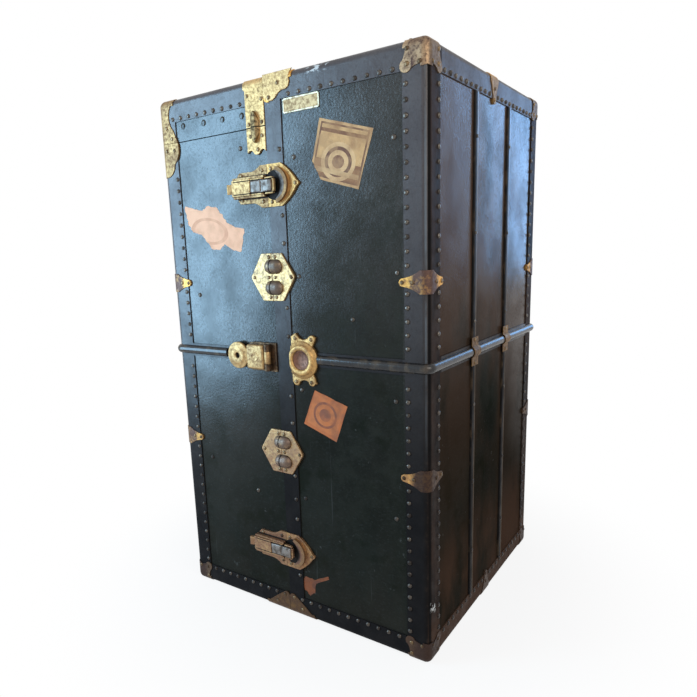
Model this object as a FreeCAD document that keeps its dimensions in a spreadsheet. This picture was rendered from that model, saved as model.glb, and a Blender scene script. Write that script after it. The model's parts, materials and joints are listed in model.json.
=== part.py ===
import FreeCAD, Part
import os
import re
from types import SimpleNamespace

# A wardrobe trunk that stands upright and opens like a book about hinges on its back seam.
# Frame: +Z up, floor at zero, front face towards -Y, drawer half towards +X, millimetres.

SIZES = {
    # Case over its boards, and where it is divided
    "case_width": 568,
    "case_depth": 542,
    "case_height": 1009,
    "wall": 10,
    "edge_round": 9.5,
    "seam_offset": 20,
    "seam_gap": 0.6,
    "lid_height": 77.5,
    # Fibre binding on the edges, strip along the seam, strip under the band
    "binding_thick": 2,
    "binding_width": 42,
    "strip_width": 35,
    "band_strip_height": 26,
    # Levels: the band above mid height, the lock below the band, the latches in from the top and
    # bottom, the dowel plates off the middle between latch and lock, the clamps below the dowels
    "band_level": 22,
    "lock_level": 2,
    "latch_level_top": 177.5,
    "latch_level_bottom": 137.5,
    "dowel_level_upper": 5.5,
    "dowel_level_lower": 10.5,
    "clamp_level_upper": 10,
    "clamp_level_lower": 4,
    # Half-round band, slats and the clamps where they meet
    "band_height": 17.5,
    "band_rise": 8,
    "band_seam_gap": 37,
    "band_keeper_gap": 3,
    "band_hasp_gap": 6,
    "slat_width": 16.5,
    "slat_thick": 4,
    "slat_spacing": 168,
    "band_clamp_height": 52,
    "band_clamp_width": 30,
    # Brass sheet fittings
    "sheet_thick": 1.5,
    "cap_reach": 42,
    "cap_ear_start": 29,
    "cap_ear_bulge": 2,
    "cap_scallop": 4,
    "clamp_reach": 52,
    "clamp_width": 37,
    "clamp_shoulder": 16,
    "clamp_tip": 13,
    "clamp_waist": 10.3,
    "seam_clamp_width": 60,
    "seam_clamp_drop": 43,
    "seam_clamp_tip": 14,
    "seam_clamp_bend_out": 37,
    "seam_clamp_bend_drop": 26,
    "lid_cap_waist": 28,
    "lid_cap_flare": 47,
    "lid_cap_waist_drop": 28,
    "lid_cap_knee_drop": 58,
    "lid_plate_drop": 62,
    "lid_plate_bend_drop": 12.5,
    "lid_plate_knee": 35,
    "lid_plate_knee_drop": 38.5,
    "lid_plate_tail": 27,
    "lid_plate_tail_drop": 56,
    "lid_plate_foot": 9.5,
    # Lid strap with its ridge and dowel
    "strap_width": 42,
    "strap_head_width": 46,
    "strap_head_height": 16,
    "strap_top_reach": 34,
    "strap_drop": 41,
    "ridge_width": 20,
    "ridge_length": 52,
    "ridge_rise": 7,
    "lid_pin_radius": 2.2,
    "lid_pin_length": 7,
    "pin_clearance": 0.6,
    # Cast plates on the front, measured from the seam and from their own level
    "plate_thick": 2.5,
    "dowel_plate_half_height": 42,
    "dowel_plate_reach": 48,
    "dowel_plate_top": 16,
    "dowel_ear": 12,
    "dowel_spacing": 38,
    "dowel_radius": 13.5,
    "dowel_axis_rise": 1.5,
    "dowel_pin_side": 16,
    "dowel_socket_side": 24,
    "dowel_pin_radius": 3,
    "dowel_pin_rise": 8,
    "dowel_pin_length": 9,
    # Draw latches
    "latch_base_reach": 76,
    "latch_shoulder": 15,
    "latch_bend": 24.5,
    "latch_waist": 34,
    "latch_tail_start": 64.5,
    "latch_half_height": 36,
    "latch_tail_half_height": 27,
    "latch_catch_reach": 67,
    "latch_catch_shoulder": 30,
    "latch_catch_bend": 21.5,
    "latch_ear": 4,
    "crescent_centre": 17,
    "crescent_radius": 31,
    "crescent_width": 6,
    "crescent_rise": 7,
    "lug_start": 1.5,
    "lug_width": 4,
    "lug_rise": 4,
    "cheek_gap": 28.8,
    "cheek_thick": 3.6,
    "cheek_rise": 8.5,
    "fulcrum_inset": 8,
    "fulcrum_rise": 9.5,
    "fulcrum_radius": 2.5,
    "lever_half_thick": 4.5,
    "lever_width": 28,
    "lever_web": 3.6,
    "lever_head_rise": 15.5,
    "lever_head_start": 32,
    "lever_head_end": 78,
    "tab_end": 91,
    "tab_width": 17,
    "tab_thick": 5,
    "tab_lift": 3,
    "tab_bevel": 2,
    "lever_edge": 1,
    "lever_slope": 6,
    "link_arm": 14,
    "link_eye_radius": 4.5,
    "link_pin_radius": 2,
    "link_width": 20,
    "link_bar_thick": 2.5,
    "link_reach": 10,
    "hook_thick": 3.5,
    "running_gap": 0.3,
    # Lock hasp and its keeper
    "hasp_axis_inset": 16.7,
    "hasp_axis_rise": 11,
    "hasp_knuckle_radius": 6.2,
    "hasp_knuckle_half": 11.7,
    "hasp_pin_radius": 3,
    "hasp_arm": 75.2,
    "hasp_thick": 4,
    "hasp_head_radius": 26,
    "hasp_neck_half": 13,
    "hasp_body_half": 22,
    "hasp_body_start": 8,
    "hasp_body_end": 46,
    "hasp_body_rise": 4,
    "hasp_body_margin": 2,
    "nozzle_radius": 17,
    "nozzle_height": 7.5,
    "key_hole_radius": 5,
    "hasp_base_reach": 66,
    "hasp_base_half": 27,
    "hasp_base_corner": 7,
    "keeper_ring_radius": 33,
    "keeper_bore_radius": 18.5,
    "keeper_rise": 12,
    "keeper_half_height": 46,
    "keeper_notch": 10,
    "keeper_ear_width": 22,
    "keeper_reach": 26.5,
    # Hinges
    "hinge_height": 72,
    "hinge_leaf_width": 32,
    "hinge_leaf_thick": 2.5,
    "hinge_knuckle_radius": 7,
    "hinge_pin_radius": 3,
    "hinge_spacing": 338,
    "lid_hinge_length": 60,
    "lid_hinge_leaf": 25,
    "lid_hinge_radius": 5,
    "lid_hinge_pin": 2.2,
    "lid_hinge_shift": 12.5,
    "knuckle_gap": 0.4,
    "pin_play": 0.08,
    # Drawer half: the shelf below the ceiling
    "shelf_level": 287.5,
    "shelf_thick": 8,
    "runner_height": 10,
    "runner_width": 14,
    "runner_setback": 12,
    "drawer_setback": 18,
    "drawer_side_gap": 2,
    "drawer_top_gap": 3,
    "drawer_back_gap": 3,
    "drawer_board": 8,
    "drawer_front_thick": 10,
    "drawer_floor": 5,
    "pull_length": 13,
    "pull_radius": 9,
    "pull_stem_radius": 4,
    "pull_spacing": 240,
    # Hanger half: the rails below the lid seam
    "rail_level": 35,
    "rail_height": 12,
    "rail_width": 12,
    "rail_end_gap": 6,
    "carriage_height": 12,
    "carriage_width": 10,
    "carriage_side_gap": 2,
    "rod_radius": 5,
    "hanger_pitch": 30,
    "hanger_half_width": 205,
    "hanger_thick": 11,
    "hanger_depth": 34,
    "hanger_slope": 52,
    "hanger_bow": 15.5,
    "hanger_arch": 30.5,
    "hook_wire_radius": 1.8,
    "hook_stem": 42,
}
DRAWERS = 4
HANGERS = 6
HINGES = 3
HOOK_TURN = 215

doc = FreeCAD.newDocument("WardrobeTrunk")
sheet = doc.addObject("Spreadsheet::Sheet", "Sizes")
for row, (name, value) in enumerate(SIZES.items(), start=1):
    sheet.set(f"A{row}", name)
    sheet.set(f"B{row}", str(value))
    sheet.setAlias(f"B{row}", name)
doc.recompute()
S = SimpleNamespace(**{name: float(sheet.get(name)) for name in SIZES})

# Planes and seams of the case, as expressions for bound sizes and as numbers for outlines
LEFT = "(-case_width / 2)"
RIGHT = "(case_width / 2)"
FRONT = "(-case_depth / 2)"
BACK = "(case_depth / 2)"
BOTTOM = "(binding_thick + sheet_thick)"
TOP = f"({BOTTOM} + case_height)"
SEAM = "(-seam_offset)"
SEAM_LEFT = f"({SEAM} - seam_gap / 2)"
SEAM_RIGHT = f"({SEAM} + seam_gap / 2)"
LID_SEAM = f"({TOP} - lid_height)"
LID_LOW = f"({LID_SEAM} - seam_gap / 2)"
LID_HIGH = f"({LID_SEAM} + seam_gap / 2)"
BAND_LEVEL = f"({BOTTOM} + case_height / 2 + band_level)"
LOCK_LEVEL = f"({BAND_LEVEL} - lock_level)"
LATCH_LEVEL = {"top": f"({TOP} - latch_level_top)", "bottom": f"({BOTTOM} + latch_level_bottom)"}
DOWEL_LEVEL = {
    "upper": f"(({LATCH_LEVEL['top']} + {LOCK_LEVEL}) / 2 - dowel_level_upper)",
    "lower": f"(({LATCH_LEVEL['bottom']} + {LOCK_LEVEL}) / 2 + dowel_level_lower)",
}
left = -S.case_width / 2
right = S.case_width / 2
front = -S.case_depth / 2
back = S.case_depth / 2
bottom = S.binding_thick + S.sheet_thick
top = bottom + S.case_height
seam = -S.seam_offset
seam_left = seam - S.seam_gap / 2
seam_right = seam + S.seam_gap / 2
lid_seam = top - S.lid_height
lid_low = lid_seam - S.seam_gap / 2
lid_high = lid_seam + S.seam_gap / 2
mid_height = (bottom + top) / 2
band_level = mid_height + S.band_level
lock_level = band_level - S.lock_level
latch_level = {"top": top - S.latch_level_top, "bottom": bottom + S.latch_level_bottom}
dowel_level = {
    "upper": (latch_level["top"] + lock_level) / 2 - S.dowel_level_upper,
    "lower": (latch_level["bottom"] + lock_level) / 2 + S.dowel_level_lower,
}
clamp_level = {
    "upper": dowel_level["upper"] - S.clamp_level_upper,
    "lower": dowel_level["lower"] - S.clamp_level_lower,
}
sheet_top = S.binding_thick + S.sheet_thick
plate_top = S.binding_thick + S.plate_thick

V = FreeCAD.Vector
# Sketch planes: u and v of an outline lie along these axes, and it is extruded outwards
FRONT_VIEW = FreeCAD.Rotation(0, 0, 90)
SIDE_VIEW = FreeCAD.Rotation(90, 0, 90)
TOP_VIEW = FreeCAD.Rotation(0, 0, 0)
RISE_VIEW = FreeCAD.Rotation(0, 0, 180)
ALONG = {
    "x": FreeCAD.Rotation(V(0, 1, 0), 90),
    "y": FreeCAD.Rotation(V(1, 0, 0), -90),
    "z": FreeCAD.Rotation(),
}
OVERRUN = 30.0


def bound(text):
    """An expression in which every size name points at its cell."""

    def cell(word):
        return f"Sizes.{word[0]}" if word[0] in SIZES else word[0]

    return re.sub(r"[a-z_]+", cell, text)


def place(item, base, rotation=FreeCAD.Rotation()):
    item.Placement = FreeCAD.Placement(V(), rotation)
    for axis, text in zip("xyz", base):
        item.setExpression(f"Placement.Base.{axis}", bound(f"{text}"))
    return item


def box(label, low, high):
    """A block between two corners, each given as three expressions."""
    item = doc.addObject("Part::Box", label)
    for side, start, end in zip(("Length", "Width", "Height"), low, high):
        item.setExpression(side, bound(f"({end}) - ({start})"))
    return place(item, low)


def cylinder(label, axis, radius, base, length):
    item = doc.addObject("Part::Cylinder", label)
    item.setExpression("Radius", bound(radius))
    item.setExpression("Height", bound(length))
    return place(item, base, ALONG[axis])


def sphere(label, radius, centre):
    item = doc.addObject("Part::Sphere", label)
    item.setExpression("Radius", bound(radius))
    return place(item, centre)


def cut(label, base, tool):
    item = doc.addObject("Part::Cut", label)
    item.Base = base
    item.Tool = tool
    return item


def common(label, base, tool):
    item = doc.addObject("Part::Common", label)
    item.Base = base
    item.Tool = tool
    return item


def fuse(label, *items):
    if len(items) == 1:
        return items[0]
    item = doc.addObject("Part::MultiFuse", label)
    item.Shapes = list(items)
    item.Refine = True
    return item


def group(label, *items):
    item = doc.addObject("Part::Compound", label)
    item.Links = list(items)
    return item


def mirror(label, source, normal, base=V()):
    item = doc.addObject("Part::Mirroring", label)
    item.Source = source
    item.Normal = normal
    item.Base = base
    return item


def rounded(label, base, radius, wanted):
    """The base with a fillet on each edge whose middle the test accepts."""
    doc.recompute()
    item = doc.addObject("Part::Fillet", label)
    item.Base = base
    chosen = [n for n, edge in enumerate(base.Shape.Edges, start=1) if wanted(edge.CenterOfMass)]
    item.Edges = [(n, radius, radius) for n in chosen]
    return item


def outline(label, rotation, base, path):
    """A closed sketch; a step is an end point, or an arc as a pair (point on it, end point)."""
    item = doc.addObject("Sketcher::SketchObject", label)
    here = V(*path[0], 0)
    for step in path[1:] + [path[0]]:
        arc = isinstance(step[0], tuple)
        end = V(*(step[1] if arc else step), 0)
        if arc:
            item.addGeometry(Part.Arc(here, V(*step[0], 0), end), False)
        elif (end - here).Length > 0:
            item.addGeometry(Part.LineSegment(here, end), False)
        here = end
    return place(item, base, rotation)


def extrude(label, sketch, outward, inward="0"):
    item = doc.addObject("Part::Extrusion", label)
    item.Base = sketch
    item.DirMode = "Normal"
    item.setExpression("LengthFwd", bound(outward))
    item.setExpression("LengthRev", bound(inward))
    item.Solid = True
    return item


def moved(path, where):
    """A path carried from its own directions to those of a sketch."""
    return [(where(*s[0]), where(*s[1])) if isinstance(s[0], tuple) else where(*s) for s in path]


def front_prism(label, path):
    sketch = outline(f"{label}_outline", FRONT_VIEW, ("0", FRONT, "0"), path)
    return extrude(label, sketch, f"{OVERRUN}", "wall")


def side_prism(label, path):
    sketch = outline(f"{label}_outline", SIDE_VIEW, (RIGHT, "0", "0"), path)
    return extrude(label, sketch, f"{OVERRUN}", "wall")


NODES = {}


def node(item):
    """Hand an object in as a sub-part under its own label."""
    NODES[item.Label] = item
    return item


# Rounded blocks of each half, the base of boards, binding and wrapped fittings


def half_block(side, grow):
    """One half as a solid block with round outer edges, grown outwards by a thickness."""
    low_x = SEAM_RIGHT if side == "right" else f"{LEFT} - ({grow[0]})"
    high_x = f"{RIGHT} + ({grow[0]})" if side == "right" else SEAM_LEFT
    low = (low_x, f"{FRONT} - ({grow[0]})", f"{BOTTOM} - ({grow[0]})")
    high = (high_x, f"{BACK} + ({grow[0]})", f"{TOP} + ({grow[0]})")
    label = f"{side}_block_{grow[1]}"
    square = box(f"{label}_square", low, high)
    seam_face = seam_right if side == "right" else seam_left
    radius = min(S.edge_round, S.wall - S.seam_gap) + grow[2]
    return rounded(label, square, radius, lambda point: abs(point.x - seam_face) > S.seam_gap)


BOARD = ("0", "board", 0.0)
BINDING = ("binding_thick", "binding", S.binding_thick)
SHEET = ("binding_thick + sheet_thick", "sheet", sheet_top)
PLATE = ("binding_thick + plate_thick", "plate", plate_top)
board_block = {side: half_block(side, BOARD) for side in ("right", "left")}

INSIDE_FRONT = f"({FRONT} + wall)"
INSIDE_BACK = f"({BACK} - wall)"
INSIDE_RIGHT = f"({RIGHT} - wall)"
INSIDE_LEFT = f"({LEFT} + wall)"
FLOOR_TOP = f"({BOTTOM} + wall)"
CEILING = f"({TOP} - wall)"


def boards(prefix, side, low_z, high_z, ends):
    """Front, back and side boards of a box, with its top or bottom board named in ends."""
    low_x = SEAM_RIGHT if side == "right" else LEFT
    high_x = RIGHT if side == "right" else SEAM_LEFT
    wall_low = INSIDE_RIGHT if side == "right" else LEFT
    wall_high = RIGHT if side == "right" else INSIDE_LEFT
    end_low = SEAM_RIGHT if side == "right" else INSIDE_LEFT
    end_high = INSIDE_RIGHT if side == "right" else SEAM_LEFT
    slabs = {
        "front": ((low_x, FRONT, low_z), (high_x, INSIDE_FRONT, high_z)),
        "back": ((low_x, INSIDE_BACK, low_z), (high_x, BACK, high_z)),
        "side": ((wall_low, INSIDE_FRONT, low_z), (wall_high, INSIDE_BACK, high_z)),
    }
    if "bottom" in ends:
        slabs["bottom"] = ((end_low, INSIDE_FRONT, BOTTOM), (end_high, INSIDE_BACK, FLOOR_TOP))
    if "top" in ends:
        slabs["top"] = ((end_low, INSIDE_FRONT, CEILING), (end_high, INSIDE_BACK, TOP))
    for name, (low, high) in slabs.items():
        slab = box(f"{prefix}_{name}_slab", low, high)
        node(common(f"{prefix}_{name}_panel", board_block[side], slab))


boards("right", "right", BOTTOM, TOP, ("top", "bottom"))
boards("left", "left", BOTTOM, LID_LOW, ("bottom",))
boards("lid", "left", LID_HIGH, TOP, ("top",))

# Fibre binding: a thin skin with a window over the middle of each board

EDGE = "binding_width - binding_thick"
LOW_WINDOW = (f"{BOTTOM} + {EDGE}", f"{BAND_LEVEL} - band_strip_height / 2")
HIGH_WINDOW = (f"{BAND_LEVEL} + band_strip_height / 2", f"{TOP} - ({EDGE})")
DEPTH_WINDOW = (f"{FRONT} + {EDGE}", f"{BACK} - ({EDGE})")


def binding_skin(side):
    outer = half_block(side, BINDING)
    skin = cut(f"{side}_skin", outer, board_block[side])
    outer_edge = f"{RIGHT} - ({EDGE})" if side == "right" else f"{LEFT} + {EDGE}"
    strip_edge = f"{SEAM} + strip_width" if side == "right" else f"{SEAM} - strip_width"
    plain_edge = strip_edge if side == "right" else f"{SEAM}"
    near = (outer_edge, plain_edge)
    far = (outer_edge, strip_edge)
    ordered = {"right": lambda pair: (pair[1], pair[0]), "left": lambda pair: pair}[side]
    wall_x = (INSIDE_RIGHT, f"{RIGHT} + wall") if side == "right" else (f"{LEFT} - wall", INSIDE_LEFT)
    spans = []
    for low_z, high_z in (LOW_WINDOW, HIGH_WINDOW):
        spans.append((ordered(near), (f"{FRONT} - wall", INSIDE_FRONT), (low_z, high_z)))
        spans.append((ordered(far), (INSIDE_BACK, f"{BACK} + wall"), (low_z, high_z)))
        spans.append((wall_x, DEPTH_WINDOW, (low_z, high_z)))
    spans.append((ordered(near), DEPTH_WINDOW, (CEILING, f"{TOP} + wall")))
    spans.append((ordered(near), DEPTH_WINDOW, (f"{BOTTOM} - wall", FLOOR_TOP)))
    windows = [
        box(f"{side}_window_{number}", *zip(*span)) for number, span in enumerate(spans, start=1)
    ]
    return cut(f"{side}_whole_binding", skin, fuse(f"{side}_windows", *windows))


whole_binding = {side: binding_skin(side) for side in ("right", "left")}
BEYOND_LOW = (f"{LEFT} - wall", f"{FRONT} - wall")
BEYOND_HIGH = (f"{RIGHT} + wall", f"{BACK} + wall")
below_lid = box("below_lid", (*BEYOND_LOW, f"{BOTTOM} - wall"), (*BEYOND_HIGH, LID_LOW))
above_lid = box("above_lid", (*BEYOND_LOW, LID_HIGH), (*BEYOND_HIGH, f"{TOP} + wall"))
whole_binding["right"].Label = "right_binding"
node(whole_binding["right"])
node(common("left_binding", whole_binding["left"], below_lid))
node(common("lid_binding", whole_binding["left"], above_lid))


def layer(side, grow):
    """The space that a fitting of one thickness fills, down to the binding and the boards."""
    outer = cut(f"{side}_{grow[1]}_shell", half_block(side, grow), board_block[side])
    return cut(f"{side}_{grow[1]}_layer", outer, whole_binding[side])


sheet_layer = {side: layer(side, SHEET) for side in ("right", "left")}
plate_layer = {side: layer(side, PLATE) for side in ("right", "left")}

# Half-round bands round the middle of each half


def band(side, start):
    """A half-round bead swept from the front fitting round the side to the back seam."""
    facing = 1 if side == "right" else -1
    outer = facing * (right + S.binding_thick)
    near = front - S.binding_thick
    far = back + S.binding_thick
    turn = min(S.edge_round, S.wall - S.seam_gap) + S.binding_thick
    slant = turn * (1 - 0.5**0.5)
    stop = seam + facing * S.band_seam_gap
    inner = outer - facing * turn
    bend = outer - facing * slant
    steps = [
        Part.LineSegment(V(start, near, 0), V(inner, near, 0)),
        Part.Arc(V(inner, near, 0), V(bend, near + slant, 0), V(outer, near + turn, 0)),
        Part.LineSegment(V(outer, near + turn, 0), V(outer, far - turn, 0)),
        Part.Arc(V(outer, far - turn, 0), V(bend, far - slant, 0), V(inner, far, 0)),
        Part.LineSegment(V(inner, far, 0), V(stop, far, 0)),
    ]
    path = doc.addObject("Sketcher::SketchObject", f"{side}_band_path")
    for step in steps:
        path.addGeometry(step, False)
    place(path, ("0", "0", BAND_LEVEL))
    half = S.band_height / 2
    profile = outline(
        f"{side}_band_profile",
        SIDE_VIEW,
        (f"{start}", f"{FRONT} - binding_thick", BAND_LEVEL),
        [(0, -half), ((-S.band_rise, 0), (0, half))],
    )
    doc.recompute()
    item = doc.addObject("Part::Sweep", f"{side}_band")
    item.Sections = [profile]
    item.Spine = (path, [f"Edge{n}" for n in range(1, len(steps) + 1)])
    item.Solid = True
    return node(item)


keeper_left = seam + S.strip_width + S.running_gap
keeper_centre = seam - S.hasp_axis_inset + S.hasp_arm
hasp_tip = seam - S.hasp_axis_inset - S.hasp_arm - S.hasp_head_radius
band("right", keeper_centre + S.keeper_ring_radius + S.band_keeper_gap)
band("left", hasp_tip - S.band_hasp_gap)

# Slats on the side faces, and the clamps that hold them to the band

SLAT_SPANS = {
    "right": (LOW_WINDOW, HIGH_WINDOW),
    "left": (LOW_WINDOW, (HIGH_WINDOW[0], LID_LOW)),
    "lid": ((LID_HIGH, HIGH_WINDOW[1]),),
}


def slats(prefix):
    low_x = RIGHT if prefix == "right" else f"{LEFT} - slat_thick"
    high_x = f"{RIGHT} + slat_thick" if prefix == "right" else LEFT
    pieces = []
    for way, name in ((-1, "front"), (1, "back")):
        low_y = f"{way} * slat_spacing / 2 - slat_width / 2"
        high_y = f"{way} * slat_spacing / 2 + slat_width / 2"
        for number, (low_z, high_z) in enumerate(SLAT_SPANS[prefix], start=1):
            label = f"{prefix}_slat_{name}_{number}"
            pieces.append(box(label, (low_x, low_y, low_z), (high_x, high_y, high_z)))
    return node(group(f"{prefix}_slats", *pieces))


for prefix in SLAT_SPANS:
    slats(prefix)


def band_clamps():
    """Brass straps with an arch over the band and an ear on each slat."""
    seat = S.slat_thick
    face = seat + S.sheet_thick
    crown = S.binding_thick + S.band_rise + S.running_gap / 3
    arch = S.band_height / 2 + S.running_gap
    ear = S.band_clamp_height / 2
    profile = [
        (seat, -ear),
        (face, -ear),
        (face, -arch - S.sheet_thick),
        ((crown + S.sheet_thick, 0), (face, arch + S.sheet_thick)),
        (face, ear),
        (seat, ear),
        (seat, arch),
        ((crown, 0), (seat, -arch)),
    ]
    for side, facing in (("right", 1), ("left", -1)):
        pieces = []
        for way, name in ((-1, "front"), (1, "back")):
            label = f"{side}_band_clamp_{name}"
            path = moved(profile, lambda rise, along: (facing * (right + rise), along))
            base = ("0", f"{way} * slat_spacing / 2", BAND_LEVEL)
            sketch = outline(f"{label}_profile", FRONT_VIEW, base, path)
            pieces.append(extrude(label, sketch, "band_clamp_width / 2", "band_clamp_width / 2"))
        node(group(f"{side}_band_clamps", *pieces))


band_clamps()

# Wrapped brass sheet: corner caps, edge clamps, seam clamps, lid corner plates

MARGIN = 6.0
outer_right = right + sheet_top
outer_left = left - sheet_top
outer_front = front - sheet_top
outer_top = top + sheet_top


def cap_path():
    """A quarter plate with scalloped sides and a round ear, drawn from its corner."""
    reach = S.cap_reach
    ear = S.cap_ear_start
    tip = reach + S.cap_ear_bulge
    hollow = reach - S.cap_scallop
    return [
        (-MARGIN, -MARGIN),
        (reach, -MARGIN),
        (reach, 0),
        ((hollow, ear / 2), (reach, ear)),
        ((tip, tip), (ear, reach)),
        ((ear / 2, hollow), (0, reach)),
        (-MARGIN, reach),
    ]


def clamp_path():
    """An arrow-shaped leg that narrows from the edge to a round tip."""
    half = S.clamp_width / 2
    tip = S.clamp_tip / 2
    neck = S.clamp_reach - tip
    waist = (S.clamp_shoulder + neck) / 2
    hollow = S.clamp_waist
    return [
        (-MARGIN, -half),
        (S.clamp_shoulder, -half),
        ((waist, -hollow), (neck, -tip)),
        ((S.clamp_reach, 0), (neck, tip)),
        ((waist, hollow), (S.clamp_shoulder, half)),
        (-MARGIN, half),
    ]


def seam_clamp_path():
    """Half of a scallop: broad at the edge of the case, with its tip beside the seam."""
    width = S.seam_clamp_width
    drop = S.seam_clamp_drop
    tip = S.seam_clamp_tip
    return [
        (0, -MARGIN),
        (width, -MARGIN),
        (width, tip / 2),
        ((S.seam_clamp_bend_out, S.seam_clamp_bend_drop), (tip, drop)),
        ((tip / 2, drop + tip / 6), (0, drop - tip / 3)),
    ]


def wrapped(label, layer_side, prisms):
    return common(label, sheet_layer[layer_side], fuse(f"{label}_prism", *prisms))


def mirrored_pair(label, item):
    """The item and its copy on the back of the case."""
    return [item, mirror(f"{label}_back", item, V(0, 1, 0))]


def corner_cap(side):
    """The cap on the bottom front corner of one half."""
    sign = 1 if side == "right" else -1
    label = f"{side}_cap"
    path = cap_path()
    on_front = moved(path, lambda a, b: (sign * (outer_right - a), b))
    on_side = moved(path, lambda a, b: (outer_front + a, b))
    on_floor = moved(path, lambda a, b: (sign * (outer_right - a), outer_front + b))
    side_leg = side_prism(f"{label}_side", on_side)
    if side == "left":
        side_leg = mirror(f"{label}_side_left", side_leg, V(1, 0, 0))
    legs = [front_prism(f"{label}_front", on_front), side_leg]
    floor_sketch = outline(f"{label}_floor_outline", TOP_VIEW, ("0", "0", BOTTOM), on_floor)
    legs.append(extrude(f"{label}_floor", floor_sketch, "wall", f"{OVERRUN}"))
    return wrapped(label, side, legs)


def edge_clamp(side, name, level):
    """A clamp round the front vertical edge of one half."""
    sign = 1 if side == "right" else -1
    label = f"{side}_clamp_{name}"
    path = clamp_path()
    on_front = moved(path, lambda a, b: (sign * (outer_right - a), level + b))
    on_side = moved(path, lambda a, b: (outer_front + a, level + b))
    side_leg = side_prism(f"{label}_side", on_side)
    if side == "left":
        side_leg = mirror(f"{label}_side_left", side_leg, V(1, 0, 0))
    return wrapped(label, side, [front_prism(f"{label}_front", on_front), side_leg])


def middle_clamp(side):
    """A clamp round the bottom edge at the middle of the side."""
    sign = 1 if side == "right" else -1
    label = f"{side}_clamp_middle"
    path = clamp_path()
    side_leg = side_prism(f"{label}_side", moved(path, lambda a, b: (b, a)))
    if side == "left":
        side_leg = mirror(f"{label}_side_left", side_leg, V(1, 0, 0))
    on_floor = moved(path, lambda a, b: (sign * (outer_right - a), b))
    floor_sketch = outline(f"{label}_floor_outline", TOP_VIEW, ("0", "0", BOTTOM), on_floor)
    floor_leg = extrude(f"{label}_floor", floor_sketch, "wall", f"{OVERRUN}")
    return wrapped(label, side, [side_leg, floor_leg])


def seam_clamps(side):
    """The clamps round the bottom edges beside the seam, at the front and at the back."""
    sign = 1 if side == "right" else -1
    label = f"{side}_seam_clamp"
    start = seam_right if side == "right" else seam_left
    path = seam_clamp_path()
    on_front = moved(path, lambda a, b: (start + sign * a, b))
    on_floor = moved(path, lambda a, b: (start + sign * a, outer_front + b))
    floor_sketch = outline(f"{label}_floor_outline", TOP_VIEW, ("0", "0", BOTTOM), on_floor)
    floor_leg = extrude(f"{label}_floor", floor_sketch, "wall", f"{OVERRUN}")
    prism = fuse(f"{label}_prism", front_prism(f"{label}_front", on_front), floor_leg)
    back_prism = mirror(f"{label}_prism_back", prism, V(0, 1, 0))
    return [
        common(label, sheet_layer[side], prism),
        common(f"{label}_back", sheet_layer[side], back_prism),
    ]


UPSIDE = V(0, 0, mid_height)


def upright_copies(label, items):
    """The items and their copies at the top of the case."""
    copies = [mirror(f"{label}_top_{n}", item, V(0, 0, 1), UPSIDE) for n, item in enumerate(items)]
    return items + copies


def sheet_fittings(side):
    caps = mirrored_pair(f"{side}_cap", corner_cap(side))
    clamps = []
    for name, level in clamp_level.items():
        clamps += mirrored_pair(f"{side}_clamp_{name}", edge_clamp(side, name, level))
    ends = [middle_clamp(side)] + seam_clamps(side)
    if side == "right":
        caps = upright_copies("right_cap", caps)
        ends = upright_copies("right_end_clamp", ends)
    node(group(f"{side}_corner_caps", *caps))
    node(group(f"{side}_edge_clamps", *clamps, *ends))
    return ends[0]


sheet_fittings("right")
left_middle_clamp = sheet_fittings("left")


def lid_corner_path():
    """The lid's corner plate: a cap at the top that narrows and flares to the lid seam."""
    drop = outer_top - lid_high
    knee = (S.lid_cap_waist + S.lid_cap_flare) / 2
    return [
        (-MARGIN, -MARGIN),
        (S.cap_reach, -MARGIN),
        (S.cap_reach, MARGIN),
        ((S.lid_cap_waist, S.lid_cap_waist_drop), (knee, S.lid_cap_knee_drop)),
        (S.lid_cap_flare, drop),
        (-MARGIN, drop),
    ]


def lid_lower_path():
    """The plate that carries the lid's corner plate on below the lid seam."""
    drop = S.lid_plate_drop
    flare = S.lid_cap_flare
    return [
        (-MARGIN, 0),
        (flare, 0),
        (
            (flare + S.cap_ear_bulge, S.lid_plate_bend_drop),
            (S.lid_plate_knee, S.lid_plate_knee_drop),
        ),
        ((S.lid_plate_tail, S.lid_plate_tail_drop), (S.lid_plate_foot, drop)),
        (-MARGIN, drop),
    ]


def lid_corners():
    def legs(label, path, level):
        on_front = moved(path, lambda a, b: (outer_left + a, level - b))
        on_side = moved(path, lambda a, b: (outer_front + a, level - b))
        side_leg = mirror(f"{label}_side_left", side_prism(f"{label}_side", on_side), V(1, 0, 0))
        return [front_prism(f"{label}_front", on_front), side_leg]

    on_top = moved(cap_path(), lambda a, b: (outer_left + a, outer_front + b))
    top_sketch = outline("lid_cap_top_outline", TOP_VIEW, ("0", "0", TOP), on_top)
    top_leg = extrude("lid_cap_top", top_sketch, f"{OVERRUN}", "wall")
    cap = wrapped("lid_cap", "left", legs("lid_cap", lid_corner_path(), outer_top) + [top_leg])
    middle = mirror("lid_clamp_middle", left_middle_clamp, V(0, 0, 1), UPSIDE)
    node(group("lid_corner_caps", *mirrored_pair("lid_cap", cap), middle))
    lower = wrapped("lid_plate", "left", legs("lid_plate", lid_lower_path(), lid_low))
    node(group("left_lid_plates", *mirrored_pair("lid_plate", lower)))


lid_corners()

# Lid strap: an upper plate over the top edge and a lower plate, with a split ridge and a dowel


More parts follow.
